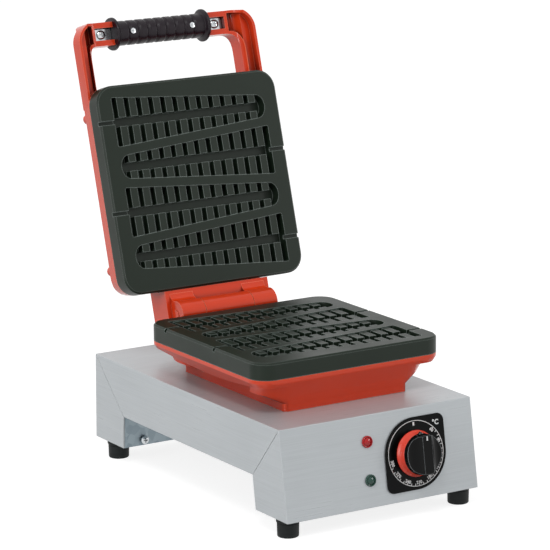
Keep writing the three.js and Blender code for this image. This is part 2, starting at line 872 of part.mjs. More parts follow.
// The sides of the lower housing: a slanted band, deepest in the middle of its
// arched edge, over a cove that runs in to the pedestal
function coveSides() {
  const wall = pedestalWidth / 2;
  const sections = [];
  for (let i = 0; i <= sideSteps; i += 1) {
    const share = i / sideSteps;
    const y = plateRear - plateCorner - share * (plateDepth - 2 * plateCorner);
    const drop = bandEndDrop + (bandDrop - bandEndDrop) * Math.sin(share * Math.PI);
    const edge = new THREE.Vector2(halfPlate - drop * bandSlope, rimZ - drop);
    const cove = new THREE.QuadraticBezierCurve(
      new THREE.Vector2(wall, pedestalZ), new THREE.Vector2(wall, edge.y), edge);
    const right = [...cove.getPoints(cornerSteps), new THREE.Vector2(halfPlate, rimZ)];
    const left = right.map((point) => new THREE.Vector2(-point.x, point.y)).reverse();
    sections.push([...right, ...left].map((point) => new THREE.Vector3(point.x, point.y, -y)));
  }
  return loft(sections).rotate([90, 0, 0]);
}

// The space of the nose at one end of the housing, seen from above; its heel
// curves in to the pedestal
function nosePlan(end, way) {
  const side = halfPlate - noseInset;
  const wall = pedestalWidth / 2;
  const reach = end + way * noseReach;
  const heel = reach + way * noseHeel;
  const shape = new THREE.Shape();
  shape.moveTo(-side, end);
  shape.lineTo(side, end);
  shape.lineTo(side, reach);
  shape.quadraticCurveTo(side, heel, wall, heel);
  shape.lineTo(-wall, heel);
  shape.quadraticCurveTo(-side, heel, -side, reach);
  return alongZ(shape, casingBottom, casingTop, 2 * cornerSteps);
}

// Lower housing: rim and band, coved sides, a round nose at the front and the
// rear, a pedestal, and a hollow for the heater
function lowerCasing() {
  const faceSlant = faceInset / noseDrop;
  const bandInset = bandEndDrop * bandSlope;
  const bandFace = faceSlant * bandEndDrop;
  const noseWidth = plateWidth - 2 * noseInset;
  const pedestalDepth = pedestalRear - pedestalFront;
  const pedestalShift = (pedestalFront + pedestalRear) / 2 - plateMiddle;
  const pedestalAt = (z) => section(pedestalWidth, pedestalDepth, pedestalCorner, z)
    .map((point) => point.setY(point.y + pedestalShift));
  const rim = loft([
    section(plateWidth - 2 * bandInset, plateDepth - 2 * bandFace, plateCorner - bandInset, bandZ),
    section(plateWidth, plateDepth, plateCorner, rimZ),
    section(plateWidth, plateDepth, plateCorner, casingTop),
  ]);
  const nose = loft([
    pedestalAt(pedestalZ),
    section(noseWidth - castWall, plateDepth - 2 * faceInset, noseCorner, noseZ),
    section(noseWidth, plateDepth - 2 * bandFace, noseCorner, bandZ),
    section(noseWidth, plateDepth, noseCorner, rimZ),
  ]);
  const noseSpace = nosePlan(plateFront, 1).add(nosePlan(plateRear, -1));
  const pedestal = loft([pedestalAt(casingBottom), pedestalAt(pedestalZ)]);
  const well = [pedestalWidth - 2 * castWall, pedestalDepth - 2 * castWall, castWall];
  const mouth = [plateWidth - 4 * castWall, plateDepth - 4 * castWall, 2 * castWall];
  const cavity = loft([
    section(...well, casingBottom + castWall),
    section(...well, bandZ),
    section(...mouth, rimZ),
    section(...mouth, casingTop + overrun),
  ]);
  const body = joined([rim, coveSides(), nose.intersect(noseSpace), pedestal, hingeArm()]);
  const bolts = casingBoltPlaces.map(([x, y]) => rodZ(
    x, y, casingBottom - overrun, casingBottom + casingBoltReach, screwRadius + gap, screwSteps));
  return cut(body, [
    cavity,
    rodZ(0, plateMiddle, casingBottom - overrun, casingTop, wireHoleRadius - gap),
    rodX(hingeY, hingeZ, -barrelHalf - overrun, barrelHalf + overrun, pinBoreRadius),
    ...bolts,
  ]);
}

// The arm from the lower housing to the hinge barrel, with the ledge that
// stops the open lid
function hingeArm() {
  const open = THREE.MathUtils.degToRad(lidAngle);
  const rest = (u) => -(hingeRadius + gap - u * Math.cos(open)) / Math.sin(open);
  const start = -(hingeY - plateRear) - 2 * castWall;
  const armTop = casingTop - hingeZ - gap;
  const armLow = rest(stopReach) - stopThickness;
  const points = [
    [start, armTop],
    [plateRear + gap - hingeY, armTop],
    [-hingeRadius * shoulderOutShare, armTop + hingeRadius * shoulderUpShare],
    [0, rest(0)],
    [stopReach, rest(stopReach)],
    [stopReach, armLow],
    [stopReach - stopHeel, armTop - armDepth],
    [start, armTop - armDepth],
  ];
  const arm = alongX(outline(points.map(([u, w]) => [hingeY + u, hingeZ + w])), -barrelHalf, barrelHalf);
  return arm.add(rodX(hingeY, hingeZ, -barrelHalf, barrelHalf, hingeRadius, hingeSteps));
}

function pin() {
  const half = barrelHalf + hingeSideGap + knuckleWidth + gap;
  return rodX(hingeY, hingeZ, -half, half, pinRadius);
}

piece('lower_casing', lowerCasing(), finishes.red);
piece('lower_plate', plate, finishes.iron).position.set(0, plateRear, plateFace);
piece('lower_heater', heater(casingTop - heaterRadius), finishes.zinc);
piece('hinge_pin', pin(), finishes.bright);
casingBoltPlaces.forEach(([x, y], i) => {
  const name = `casing_bolt_${i % 2 ? 'rear' : 'front'}_${i < 2 ? 'left' : 'right'}`;
  const shape = screw(screwRadius, sheet + casingBoltReach - gap, screwHeadRadius, screwHeadHeight);
  const bolt = piece(name, shape, finishes.zinc);
  bolt.position.set(x, y, baseHeight - sheet - gap);
});
const bulbY = plateMiddle - bulbOffset;
const bulbZ = casingTop - bulbRadius;
const bulbEnds = [bulbSideGap - heaterSpan, heaterBend + bulbPast];
piece('sensor_bulb', rodX(bulbY, bulbZ, ...bulbEnds, bulbRadius, screwSteps), finishes.bright);

// Wiring pieces inside the base
function terminalBlock() {
  const end = terminalLength / 2;
  const side = terminalWidth / 2;
  const low = archTop + panSheet + gap;
  const body = box(-end, terminalY - side, low, end, terminalY + side, low + terminalHeight);
  const pitch = terminalLength / terminalSlots;
  const slots = [];
  for (let i = 0; i < terminalSlots; i += 1) {
    const x = -end + pitch / 2 + i * pitch;
    const half = pitch * terminalSlotShare / 2;
    const floor = low + terminalHeight * terminalFloorShare;
    slots.push(box(x - half, terminalY - terminalWidth, floor,
      x + half, terminalY + terminalWidth, low + terminalHeight + overrun));
  }
  return cut(body, slots);
}

function gland() {
  return turned([
    [glandBore, -sheet - glandFlange],
    [glandRadius, -sheet - glandFlange],
    [glandRadius, gap],
    [glandFlangeRadius, gap],
    [glandFlangeRadius, glandFlange],
    [glandCapRadius + gap, glandFlange + gap],
    [glandCapRadius, glandFlange + glandCap - glandTaper],
    [glandTopRadius, glandFlange + glandCap],
    [glandBore, glandFlange + glandCap],
    [glandBore, -sheet - glandFlange],
  ]);
}

piece('terminal_block', terminalBlock(), finishes.cream);
piece('cable_gland', glandPlaced(gland()), finishes.black);

// The lid, built closed and turned open about the hinge axis
const lid = new THREE.Group();
lid.position.set(0, hingeY, hingeZ);
lid.rotation.x = -THREE.MathUtils.degToRad(lidAngle);
group.add(lid);
const lidInner = new THREE.Group();
lidInner.position.set(0, -hingeY, -hingeZ);
lid.add(lidInner);

// Height of the arms' front edge above the lid face, along their reach
const armFaceZ = lidFace + plateThickness + armFace;
const armBackZ = lidFace + plateThickness + armBack;
const gripY = plateFront - armReach + gripDrop;
const gripZ = armFaceZ + gripRise;
const stubBack = gripZ + stubDepth / 2;

// The arm seen from the hinge, as [x, z]: level at the side of the lid, then
// ramped up to the stub, its face sunk by some depth
function armRamp(depth) {
  const outer = halfPlate - lidTaper;
  const face = armFaceZ + depth;
  const back = depth ? armFaceZ - stubDepth : armBackZ;
  const tip = armTip - overrun;
  const stubFace = gripZ - stubDepth / 2 + depth;
  const shape = new THREE.Shape();
  shape.moveTo(outer + overrun, face);
  shape.lineTo(outer + overrun, back);
  if (depth === 0) {
    shape.lineTo(outer - armLevel + armWeb, back);
    shape.quadraticCurveTo(outer - armWidth + armWeb, stubBack, armTip, stubBack);
    shape.lineTo(tip, stubBack);
    shape.lineTo(tip, stubFace);
  } else {
    shape.lineTo(tip, back);
    shape.lineTo(tip, stubFace);
  }
  shape.quadraticCurveTo(outer - armWidth, stubFace, outer - armLevel, face);
  return shape;
}

// The arm seen from above, its walls sunk by some depth; it bends in to a tip
function armPlan(depth) {
  const outer = halfPlate - lidTaper - depth;
  const inner = halfPlate - lidTaper - armWidth + depth;
  const tip = armTip + depth;
  const end = plateFront - armReach + depth;
  const start = plateFront + plateCorner;
  const radius = armCorner - depth;
  const throat = plateFront - armStraight;
  const shelf = end + stubHeight - 2 * depth;
  const shape = new THREE.Shape();
  shape.moveTo(inner, start);
  shape.lineTo(inner, throat);
  shape.quadraticCurveTo(inner, shelf, tip, shelf);
  shape.lineTo(tip, end);
  shape.lineTo(outer - radius, end);
  shape.absarc(outer - radius, end + radius, radius, -Math.PI / 2, 0);
  shape.lineTo(outer, start);
  return shape;
}

function handleArm() {
  const low = armFaceZ - overrun;
  const front = plateFront - armReach - overrun;
  const back = plateFront + plateCorner + overrun;
  const arm = alongY(armRamp(0), front, back, 2 * cornerSteps).intersect(
    alongZ(armPlan(0), low, stubBack + overrun, 2 * cornerSteps));
  const channelDepth = armBack - armFace - armWeb;
  const channel = alongY(armRamp(channelDepth), front, back, 2 * cornerSteps).intersect(
    alongZ(armPlan(armFlange), low - stubDepth, stubBack + overrun, 2 * cornerSteps));
  const stub = box(gripHalf + gap, gripY - stubHeight / 2, gripZ - stubDepth / 2,
    armTip + overrun, gripY + stubHeight / 2, stubBack);
  const recess = box(gripHalf, gripY - strapWidth / 2 - gap, gripZ - stubDepth,
    strapHalf + gap, gripY + strapWidth / 2 + gap, gripZ + strapThickness / 2 + gap);
  const boltTop = stubBack + overrun;
  const bolt = rodZ(strapBoltX, gripY, gripZ - stubDepth, boltTop, strapBoltRadius + gap, screwSteps);
  return cut(joined([cut(arm, [channel]), stub]), [recess, bolt]);
}

function lidCasing() {
  const low = lidFace + plateThickness + gap;
  const inset = (by, z) => section(plateWidth - 2 * by, plateDepth - 2 * by, plateCorner - by, z);
  const shell = loft([
    inset(0, low),
    inset(lidTaper, lidBack - lidEdge),
    inset(lidTaper + lidEdge / 2, lidBack),
  ]);
  const lugs = lugPlaces().map(([x, y]) => rodZ(x, y, lidBack - lugHeight, lidBack + lugHeight, lugRadius));
  const bracketLow = lidFace + bracketFaceRise;
  const bracketRear = hingeY + hingeRadius;
  const bracket = box(-bracketHalf, plateRear - 2 * castWall, low, bracketHalf, bracketRear, lidBack);
  const faceFront = plateRear + 2 * gap;
  const bracketFace = box(-bracketHalf, faceFront, bracketLow, bracketHalf, bracketRear, low + gap);
  const knuckleEnd = barrelHalf + hingeSideGap + knuckleWidth;
  const knuckles = rodX(hingeY, hingeZ, -knuckleEnd, knuckleEnd, hingeRadius, hingeSteps);
  const throatY = hingeY - hingeRadius * throatShare;
  const throat = box(-knuckleEnd, throatY, hingeZ, knuckleEnd, hingeY + hingeRadius, bracketLow + gap);
  const rightArm = handleArm();
  const arms = [rightArm, rightArm.mirror([1, 0, 0])];
  const body = joined([shell, ...lugs, bracket, bracketFace, knuckles, throat, ...arms]);
  const cavity = loft([
    section(plateWidth - 2 * castWall, plateDepth - 2 * castWall, castWall, low - overrun),
    section(plateWidth - 2 * castWall, plateDepth - 2 * castWall, castWall, low + lidCavityDepth),
  ]);
  const tunnel = barrelHalf + hingeSideGap;
  const reach = hingeRadius + overrun;
  return cut(body, [
    cavity,
    rodX(hingeY, hingeZ, -tunnel, tunnel, hingeRadius + hingeTurnGap, hingeSteps),
    rodX(hingeY, hingeZ, -knuckleEnd - overrun, knuckleEnd + overrun, pinBoreRadius),
    box(-tunnel, hingeY - reach, hingeZ - reach, tunnel, hingeY + reach, hingeZ),
  ]);
}

function lugPlaces() {
  const x = halfPlate - lugInset;
  const ends = [plateRear - lugEndInset, plateFront + lugEndInset];
  return [-1, 1].flatMap((side) => ends.map((y) => [side * x, y]));
}

// A ribbed sleeve about the X axis, with a slot for the strap
function grip() {
  const profile = [
    [0, -gripHalf],
    [gripFlangeRadius - gripFlangeRound, -gripHalf],
    [gripFlangeRadius, -gripHalf + gripFlange / 2],
    [gripFlangeRadius - gripFlangeRound, -gripHalf + gripFlange],
    [gripRadius, -gripHalf + gripFlange + gripFlare],
  ];
  const grooveEnd = gripHalf - gripGrooveInset;
  const pitch = 2 * grooveEnd / (gripGrooves - 1);
  for (let i = 0; i < gripGrooves; i += 1) {
    const x = i * pitch - grooveEnd;
    profile.push([gripRadius, x - gripGrooveWidth / 2]);
    profile.push([gripRadius - gripGrooveDepth, x]);
    profile.push([gripRadius, x + gripGrooveWidth / 2]);
  }
  profile.push(
    [gripRadius, gripHalf - gripFlange - gripFlare],
    [gripFlangeRadius - gripFlangeRound, gripHalf - gripFlange],
    [gripFlangeRadius, gripHalf - gripFlange / 2],
    [gripFlangeRadius - gripFlangeRound, gripHalf],
    [0, gripHalf],
  );
  const sleeve = solid(turned(profile).rotateY(Math.PI / 2).translate(0, gripY, gripZ));
  const slot = box(-gripHalf - overrun, gripY - strapWidth / 2 - gap, gripZ - strapThickness / 2 - gap,
    gripHalf + overrun, gripY + strapWidth / 2 + gap, gripZ + strapThickness / 2 + gap);
  const holes = [-1, 1].map((side) => rodZ(side * gripScrewX, gripY, gripZ - 2 * gripRadius, gripZ,
    gripScrewRadius + gap, screwSteps));
  const seats = [-1, 1].map((side) => rodZ(side * gripScrewX, gripY, gripZ - 2 * gripRadius,
    gripZ - gripRadius + gripScrewHeadHeight, gripScrewHeadRadius + gap, roundSteps));
  return cut(sleeve, [slot, ...holes, ...seats]);
}

function strap() {
  const side = strapWidth / 2;
  const shape = roundedRect(-strapHalf, gripY - side, strapHalf, gripY + side, strapThickness);
  const bar = alongZ(shape, gripZ - strapThickness / 2, gripZ + strapThickness / 2, cornerSteps);
  const holes = [-1, 1].flatMap((side) => [
    rodZ(side * strapBoltX, gripY, gripZ - overrun, gripZ + overrun, strapBoltRadius + gap, screwSteps),
    rodZ(side * gripScrewX, gripY, gripZ - overrun, gripZ + overrun, gripScrewRadius + gap, screwSteps),
  ]);
  return cut(bar, holes);
}

function nut() {
  const ring = new THREE.Shape();
  ring.absarc(0, 0, strapNutRadius, 0, Math.PI * 2);
  const hexagon = ring.getPoints(strapNutSides / 2);
  const shape = new THREE.Shape(hexagon);
  const body = alongZ(shape, 0, strapNutHeight);
  return body.subtract(rodZ(0, 0, -overrun, strapNutHeight + overrun, strapBoltRadius + gap, screwSteps));
}

piece('lid_casing', lidCasing(), finishes.red, lidInner);
const lidPlate = piece('lid_plate', plate, finishes.iron, lidInner);
lidPlate.rotation.x = Math.PI;
lidPlate.position.set(0, plateRear - plateDepth, lidFace);
piece('lid_heater', heater(lidFace + plateThickness + gap + heaterRadius), finishes.zinc, lidInner);
piece('grip', grip(), finishes.grip, lidInner);
piece('handle_strap', strap(), finishes.bright, lidInner);
for (const [name, side] of [['left', -1], ['right', 1]]) {
  const boltSeat = gripZ - strapThickness / 2 - gap;
  const boltLength = stubBack + strapNutHeight + gap - boltSeat;
  const bolt = piece(`strap_bolt_${name}`,
    screw(strapBoltRadius, boltLength, strapHeadRadius, strapHeadHeight), finishes.bright, lidInner);
  bolt.position.set(side * strapBoltX, gripY, boltSeat);
  const strapNut = piece(`strap_nut_${name}`, nut(), finishes.zinc, lidInner);
  strapNut.position.set(side * strapBoltX, gripY, stubBack + gap);
  const screwSeat = gripZ - gripRadius + gripScrewHeadHeight - gap;
  const screwShape = screw(gripScrewRadius, gripZ - screwSeat, gripScrewHeadRadius, gripScrewHeadHeight);
  const gripScrew = piece(`grip_screw_${name}`, screwShape, finishes.bright, lidInner);
  gripScrew.position.set(side * gripScrewX, gripY, screwSeat);
}
lugPlaces().forEach(([x, y], i) => {
  const name = `plate_bolt_${i % 2 ? 'front' : 'rear'}_${x < 0 ? 'left' : 'right'}`;
  const shape = turned([
    [0, 0],
    [bossBoltRadius, 0],
    [bossBoltRadius, bossBoltHeight - bossBoltEdge],
    [bossBoltRadius - bossBoltEdge, bossBoltHeight],
    [0, bossBoltHeight],
  ], bossBoltSides);
  piece(name, shape, finishes.zinc, lidInner).position.set(x, y, lidBack + lugHeight + gap);
});

// The origin goes to the middle of the bottom of the open object
group.updateMatrixWorld(true);
const bounds = new THREE.Box3().setFromObject(group, true);
const middle = bounds.getCenter(new THREE.Vector3());
group.position.set(-middle.x, -middle.y, -bounds.min.z);
group.updateMatrixWorld(true);

export default group;
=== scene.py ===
"""Looks of a countertop maker for waffles on sticks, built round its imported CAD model."""
import logging
import math
from dataclasses import dataclass
from enum import Enum
from typing import Iterable, Mapping, Sequence

import bmesh
import bpy
from mathutils import Matrix, Vector


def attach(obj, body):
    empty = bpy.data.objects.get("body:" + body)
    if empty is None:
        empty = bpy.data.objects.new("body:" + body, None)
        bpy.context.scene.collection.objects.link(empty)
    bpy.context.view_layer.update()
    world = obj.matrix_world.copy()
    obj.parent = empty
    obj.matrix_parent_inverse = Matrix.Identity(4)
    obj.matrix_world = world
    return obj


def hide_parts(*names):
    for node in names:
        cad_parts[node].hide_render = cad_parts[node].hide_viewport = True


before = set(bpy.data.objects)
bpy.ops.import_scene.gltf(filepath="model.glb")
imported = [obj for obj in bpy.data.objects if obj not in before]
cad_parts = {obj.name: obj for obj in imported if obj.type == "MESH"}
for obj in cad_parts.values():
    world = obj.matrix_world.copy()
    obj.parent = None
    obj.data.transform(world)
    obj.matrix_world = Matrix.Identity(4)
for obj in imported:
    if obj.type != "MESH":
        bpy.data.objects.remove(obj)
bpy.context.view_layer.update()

log = logging.getLogger("waffle_maker")
Piece = bpy.types.Object
Node = bpy.types.Node
Socket = bpy.types.NodeSocket
Feed = Node | Socket
Outline = Sequence[tuple[float, float]]
MM = 0.001
MATHS = "ShaderNodeMath"
UNTURNED = Matrix.Identity(4)
QUARTER = math.pi / 2

# How the CAD's facets are read and shaded
SMOOTH_ANGLE = math.radians(38)
CASTING_ANGLE = math.radians(22)
ROUNDED_ANGLE = math.radians(32)
FLAT_ANGLE = math.radians(0.6)
FACET_LOW, FACET_HIGH = math.radians(9), math.radians(31)
FACET_SHORTEST = 0.8 * MM
FACET_LIKE, FACET_UNLIKE = 0.7, 1.4
CORNER_GAP = 0.004 * MM
SLIVER = 0.002 * MM
TURN_GAP = 0.001 * MM
PLACE_DIGITS = 7
IN_LINE = 1e-20
FLAT_WEIGHT = 80

# Between which values a noise pattern mostly lies
PATTERN_LOW, PATTERN_HIGH = 0.3, 0.7

# Where the object's turned and sloping parts lie
HINGE = Vector((0, 91.4, 168.7)) * MM
LID_TURN = -math.radians(106.2)
LID_OPEN = Matrix.Translation(HINGE) @ Matrix.Rotation(LID_TURN, 4, "X") @ Matrix.Translation(-HINGE)
FRONT_SLOPE = math.atan2(15.3, 96.5)
FRONT_TOP = Vector((0, -212.7, 115.5)) * MM
FRONT_PANEL = Matrix.Translation(FRONT_TOP) @ Matrix.Rotation(QUARTER - FRONT_SLOPE, 4, "X")
WAYS = {"left": -1, "right": 1}
CORNERS = [f"{end}_{side}" for end in ("front", "rear") for side in WAYS]


class Drive(Enum):
    """How a screw is turned, with how far its recess reaches over the head's radius."""

    SLOT = 2.4
    CROSS = 1.15


class Body(Enum):
    """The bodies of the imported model."""

    BASE = "base"
    LID = "lid"
    KNOB = "control_knob"


def linear(code: str) -> tuple[float, float, float, float]:
    """Turn an sRGB hex colour to linear light.

    Args:
        code: The colour, such as "D8432A".

    Returns:
        Red, green, blue and a full alpha.
    """
    values = []
    for start in (0, 2, 4):
        share = int(code[start:start + 2], 16) / 255
        values.append(share / 12.92 if share <= 0.04045 else ((share + 0.055) / 1.055) ** 2.4)
    return (values[0], values[1], values[2], 1.0)


def per_mm(size: float) -> float:
    """Return the texture scale whose pattern repeats about every size millimetres."""
    return 1 / (size * MM)


def in_mm(x: float, y: float, z: float) -> Vector:
    """Return a point given in millimetres."""
    return Vector((x, y, z)) * MM


def moved(x: float, y: float, z: float) -> Matrix:
    """Return a move given in millimetres."""
    return Matrix.Translation(in_mm(x, y, z))


def add_node(tree: bpy.types.NodeTree, kind: str, inputs: Mapping = {}, **settings: object) -> Node:
    """Add a node with its settings and its links.

    Args:
        tree: The node tree that gets it.
        kind: Blender's identifier of the node.
        inputs: What each input takes, by name or place: a value, a socket, or a node's first output.
        settings: The node's own settings, by name.

    Returns:
        The new node.
    """
    node = tree.nodes.new(kind)
    for name, value in settings.items():
        setattr(node, name, value)
    for name, value in inputs.items():
        source = value.outputs[0] if isinstance(value, Node) else value
        if isinstance(source, Socket):
            tree.links.new(source, node.inputs[name])
        else:
            node.inputs[name].default_value = source
    return node


class Surface:
    """A material in the making: its node tree, its shader and where a point of the piece is."""

    def __init__(self, finish: "Finish") -> None:
        """Start the material of a finish; what is the same all over is set on the shader itself.

        Args:
            finish: Its name, colours and shine.
        """
        self.finish = finish
        self.material = bpy.data.materials.new(finish.title)
        self.material.use_nodes = True
        self.tree = self.material.node_tree
        self.shader = self.tree.nodes["Principled BSDF"]
        steady = {"Metallic": finish.metallic, "Coat Weight": finish.coat,
                  "Coat Roughness": finish.coat_roughness}
        if finish.metallic < 1:
            steady |= {"IOR": finish.ior, "Specular IOR Level": finish.specular}
        for name, value in steady.items():
            self.shader.inputs[name].default_value = value
        self.place = self.add("ShaderNodeTexCoord").outputs["Object"]

    def add(self, kind: str, inputs: Mapping = {}, **settings: object) -> Node:
        """Add a node to this material, as add_node does."""
        return add_node(self.tree, kind, inputs, **settings)

    def feed(self, name: str, source: Socket) -> None:
        """Feed one input of the shader."""
        self.tree.links.new(source, self.shader.inputs[name])

    def grain(self, size: float, stretch: tuple[float, float, float] = (1, 1, 1),
              detail: float = 3) -> Socket:
        """Lay a grain of one real size over the piece.

        Args:
            size: The size of a grain, in millimetres.
            stretch: How much finer it is along each axis.
            detail: How many finer layers lie in it.

        Returns:
            A pattern from 0 to 1.
        """
        laid = self.add("ShaderNodeMapping", {"Vector": self.place, "Scale": stretch})
        pattern = {"Vector": laid, "Scale": per_mm(size), "Detail": detail}
        return self.add("ShaderNodeTexNoise", pattern).outputs[0]

    def tinted(self, share: Feed) -> Socket:
        """Blend the finish's tint and shade by a pattern."""
        colours = {0: share, 6: linear(self.finish.tint), 7: linear(self.finish.shade)}
        return self.add("ShaderNodeMix", colours, data_type="RGBA").outputs[2]

    def painted_corner_shade(self, under: Socket) -> Socket:
        """Paint shade into the colour in corners and coves, where less light reaches: painted shade.

        Args:
            under: The colour of open faces.

        Returns:
            The colour with its painted shade in the corners.
        """
        low, high = self.finish.painted_shade_shares
        near = self.add("ShaderNodeAmbientOcclusion", {"Distance": self.finish.corner * MM},
                        samples=self.finish.painted_shade_samples)
        reach = {"Value": near.outputs["AO"], "From Min": low, "From Max": high}
        blend = {0: self.add("ShaderNodeMapRange", reach), 6: linear(self.finish.painted_shade_tint), 7: under}
        return self.add("ShaderNodeMix", blend, data_type="RGBA").outputs[2]

    def edge_wear_and_highlight(self, under: Socket) -> Socket:
        """Change the colour towards the finish's edge tint on edges: partly wear, partly a painted
        highlight.

        Args:
            under: The colour of open faces.

        Returns:
            The colour with its worn edges and painted edge highlights.
        """
        rounded = self.add("ShaderNodeBevel", {"Radius": self.finish.edge_width * MM}, samples=12)
        normal = self.add("ShaderNodeNewGeometry").outputs["Normal"]
        dot = self.add("ShaderNodeVectorMath", {0: rounded, 1: normal}, operation="DOT_PRODUCT")
        away = self.add(MATHS, {0: 1.0, 1: dot.outputs["Value"]}, operation="SUBTRACT")
        share = self.add(MATHS, {0: away, 1: self.finish.edge_strength}, operation="MULTIPLY",
                         use_clamp=True)
        edged = {0: share, 6: under, 7: linear(self.finish.edge_tint)}
        return self.add("ShaderNodeMix", edged, data_type="RGBA").outputs[2]

    def shine(self, share: Feed) -> None:
        """Vary the roughness about its usual value.

        Args:
            share: A pattern from 0 to 1.
        """
        usual, spread = self.finish.roughness, self.finish.roughness_spread
        reach = {"Value": share, "From Min": PATTERN_LOW, "From Max": PATTERN_HIGH,
                 "To Min": usual - spread, "To Max": usual + spread}
        self.feed("Roughness", self.add("ShaderNodeMapRange", reach).outputs[0])

    def relief(self, share: Feed) -> None:
        """Give the surface its fine relief.

        Args:
            share: The height pattern, from 0 to 1.
        """
        height = {"Height": share, "Strength": self.finish.bump, "Distance": self.finish.depth * MM}
        self.feed("Normal", self.add("ShaderNodeBump", height).outputs[0])


@dataclass(frozen=True)
class Finish:
    """What every finish shares: its colours, shine, relief, edges with wear and a painted highlight, and
    corners with painted shade; sizes in millimetres.
    """

    title: str
    tint: str
    shade: str
    roughness: float
    roughness_spread: float = 0.06
    metallic: float = 0.0
    ior: float = 1.5
    coat: float = 0.0
    coat_roughness: float = 0.1
    specular: float = 0.5
    bump: float = 0.2
    depth: float = 0.03
    cloud: float = 14.0
    # Pale edges: partly wear, partly a painted highlight.
    edge_tint: str = "E6EAEC"
    edge_width: float = 1.2
    edge_strength: float = 2.5
    # Corner fields: painted shade in corners and coves, set by how near other faces are.
    corner: float = 1.6
    painted_shade_tint: str = "17191A"
    painted_shade_shares: tuple[float, float] = (0.35, 0.9)
    painted_shade_samples: int = 8

    def material(self) -> bpy.types.Material:
        """Build the material on its first use.

        Returns:
            The finish's one node material.
        """
        known = bpy.data.materials.get(self.title)
        if known is not None:
            return known
        surface = Surface(self)
        self.dress(surface)
        return surface.material

    def dress(self, surface: Surface) -> None:
        """Add the finish's own pattern; each finish has one."""
        raise NotImplementedError


@dataclass(frozen=True)
class BrushedSheet(Finish):
    """Stainless sheet with a satin grind along the width: fine streaks that blur its reflections."""

    streak: float = 0.9
    streak_length: float = 70.0
    depth: float = 0.05
    cloud: float = 90.0
    cloud_share: float = 0.35

    def dress(self, surface: Surface) -> None:
        """Lay streaks along X on the top and front, and along Y on the sides.

        The real grind is some 0.1 mm wide; it is drawn coarser so that it shows.

        Args:
            surface: The material in the making.
        """
        thin = self.streak / self.streak_length
        across = surface.grain(self.streak, (thin, 1, 1))
        sideways = surface.grain(self.streak, (1, thin, 1))
        normal = surface.add("ShaderNodeNewGeometry").outputs["Normal"]
        parts = surface.add("ShaderNodeSeparateXYZ", {0: normal})
        side = surface.add(MATHS, {0: parts.outputs["X"]}, operation="ABSOLUTE")
        streaks = surface.add("ShaderNodeMix", {0: side, 2: across, 3: sideways}, data_type="FLOAT")
        clouded = {0: self.cloud_share, 2: streaks, 3: surface.grain(self.cloud)}
        both = surface.add("ShaderNodeMix", clouded, data_type="FLOAT")
        reach = {"Value": both, "From Min": PATTERN_LOW, "From Max": PATTERN_HIGH}
        share = surface.add("ShaderNodeMapRange", reach)
        # Its pale edges are partly wear, partly a painted highlight.
        surface.feed("Base Color", surface.edge_wear_and_highlight(surface.tinted(share)))
        surface.shine(both)
        surface.relief(streaks)


@dataclass(frozen=True)
class GalvanisedSheet(Finish):
    """Zinc-dipped steel: cold grey with large dull crystals."""

    spangle: float = 9.0
    grit: float = 1.5
    depth: float = 0.04

    def dress(self, surface: Surface) -> None:
        """Lay spangle crystals of slightly different greys.

        Args:
            surface: The material in the making.
        """
        cells = surface.add("ShaderNodeTexVoronoi", {"Vector": surface.place, "Scale": per_mm(self.spangle)})
        grey = surface.add("ShaderNodeRGBToBW", {0: cells.outputs["Color"]})
        surface.feed("Base Color", surface.tinted(grey))
        surface.shine(grey)
        surface.relief(surface.grain(self.grit))


@dataclass(frozen=True)
class PlatedSteel(Finish):
    """Bright zinc or nickel plate on small hardware: mirror-like, with faint turning marks."""

    mark: float = 0.8
    depth: float = 0.02
    cloud: float = 4.0

    def dress(self, surface: Surface) -> None:
        """Lay faint clouds and fine marks, with painted shade in the corners.

        Args:
            surface: The material in the making.
        """
        cloud = surface.grain(self.cloud)
        # Painted shade in the corners and recesses, such as the screws' slots.
        surface.feed("Base Color", surface.painted_corner_shade(surface.tinted(cloud)))
        surface.shine(cloud)
        surface.relief(surface.grain(self.mark))


@dataclass(frozen=True)
class EnamelledCasting(Finish):
    """Baked red-orange enamel on cast metal: satin gloss, a faint orange peel, thin and pale on edges with a
    painted highlight, and painted shade in its coves.
    """

    # Pale edges: partly thin enamel, partly a painted highlight.
    edge_tint: str = "FF8462"
    edge_width: float = 1.6
    edge_strength: float = 1.9
    peel: float = 2.2
    depth: float = 0.06
    cloud: float = 45.0
    gloss_cloud: float = 12.0
    # Painted shade in the coves, channels and hinge gaps.
    corner: float = 26.0
    painted_shade_tint: str = "5A0F07"
    painted_shade_shares: tuple[float, float] = (0.15, 0.72)
    painted_shade_samples: int = 32

    def dress(self, surface: Surface) -> None:
        """Lay soft clouds of colour, painted shade in the coves, the peel, and the paler edges, partly wear
        and partly a painted highlight.

        Args:
            surface: The material in the making.
        """
        # Painted shade in the coves, then pale edges: partly wear, partly a painted highlight.
        cove_shaded = surface.painted_corner_shade(surface.tinted(surface.grain(self.cloud)))
        surface.feed("Base Color", surface.edge_wear_and_highlight(cove_shaded))
        surface.shine(surface.grain(self.gloss_cloud))
        surface.relief(surface.grain(self.peel))


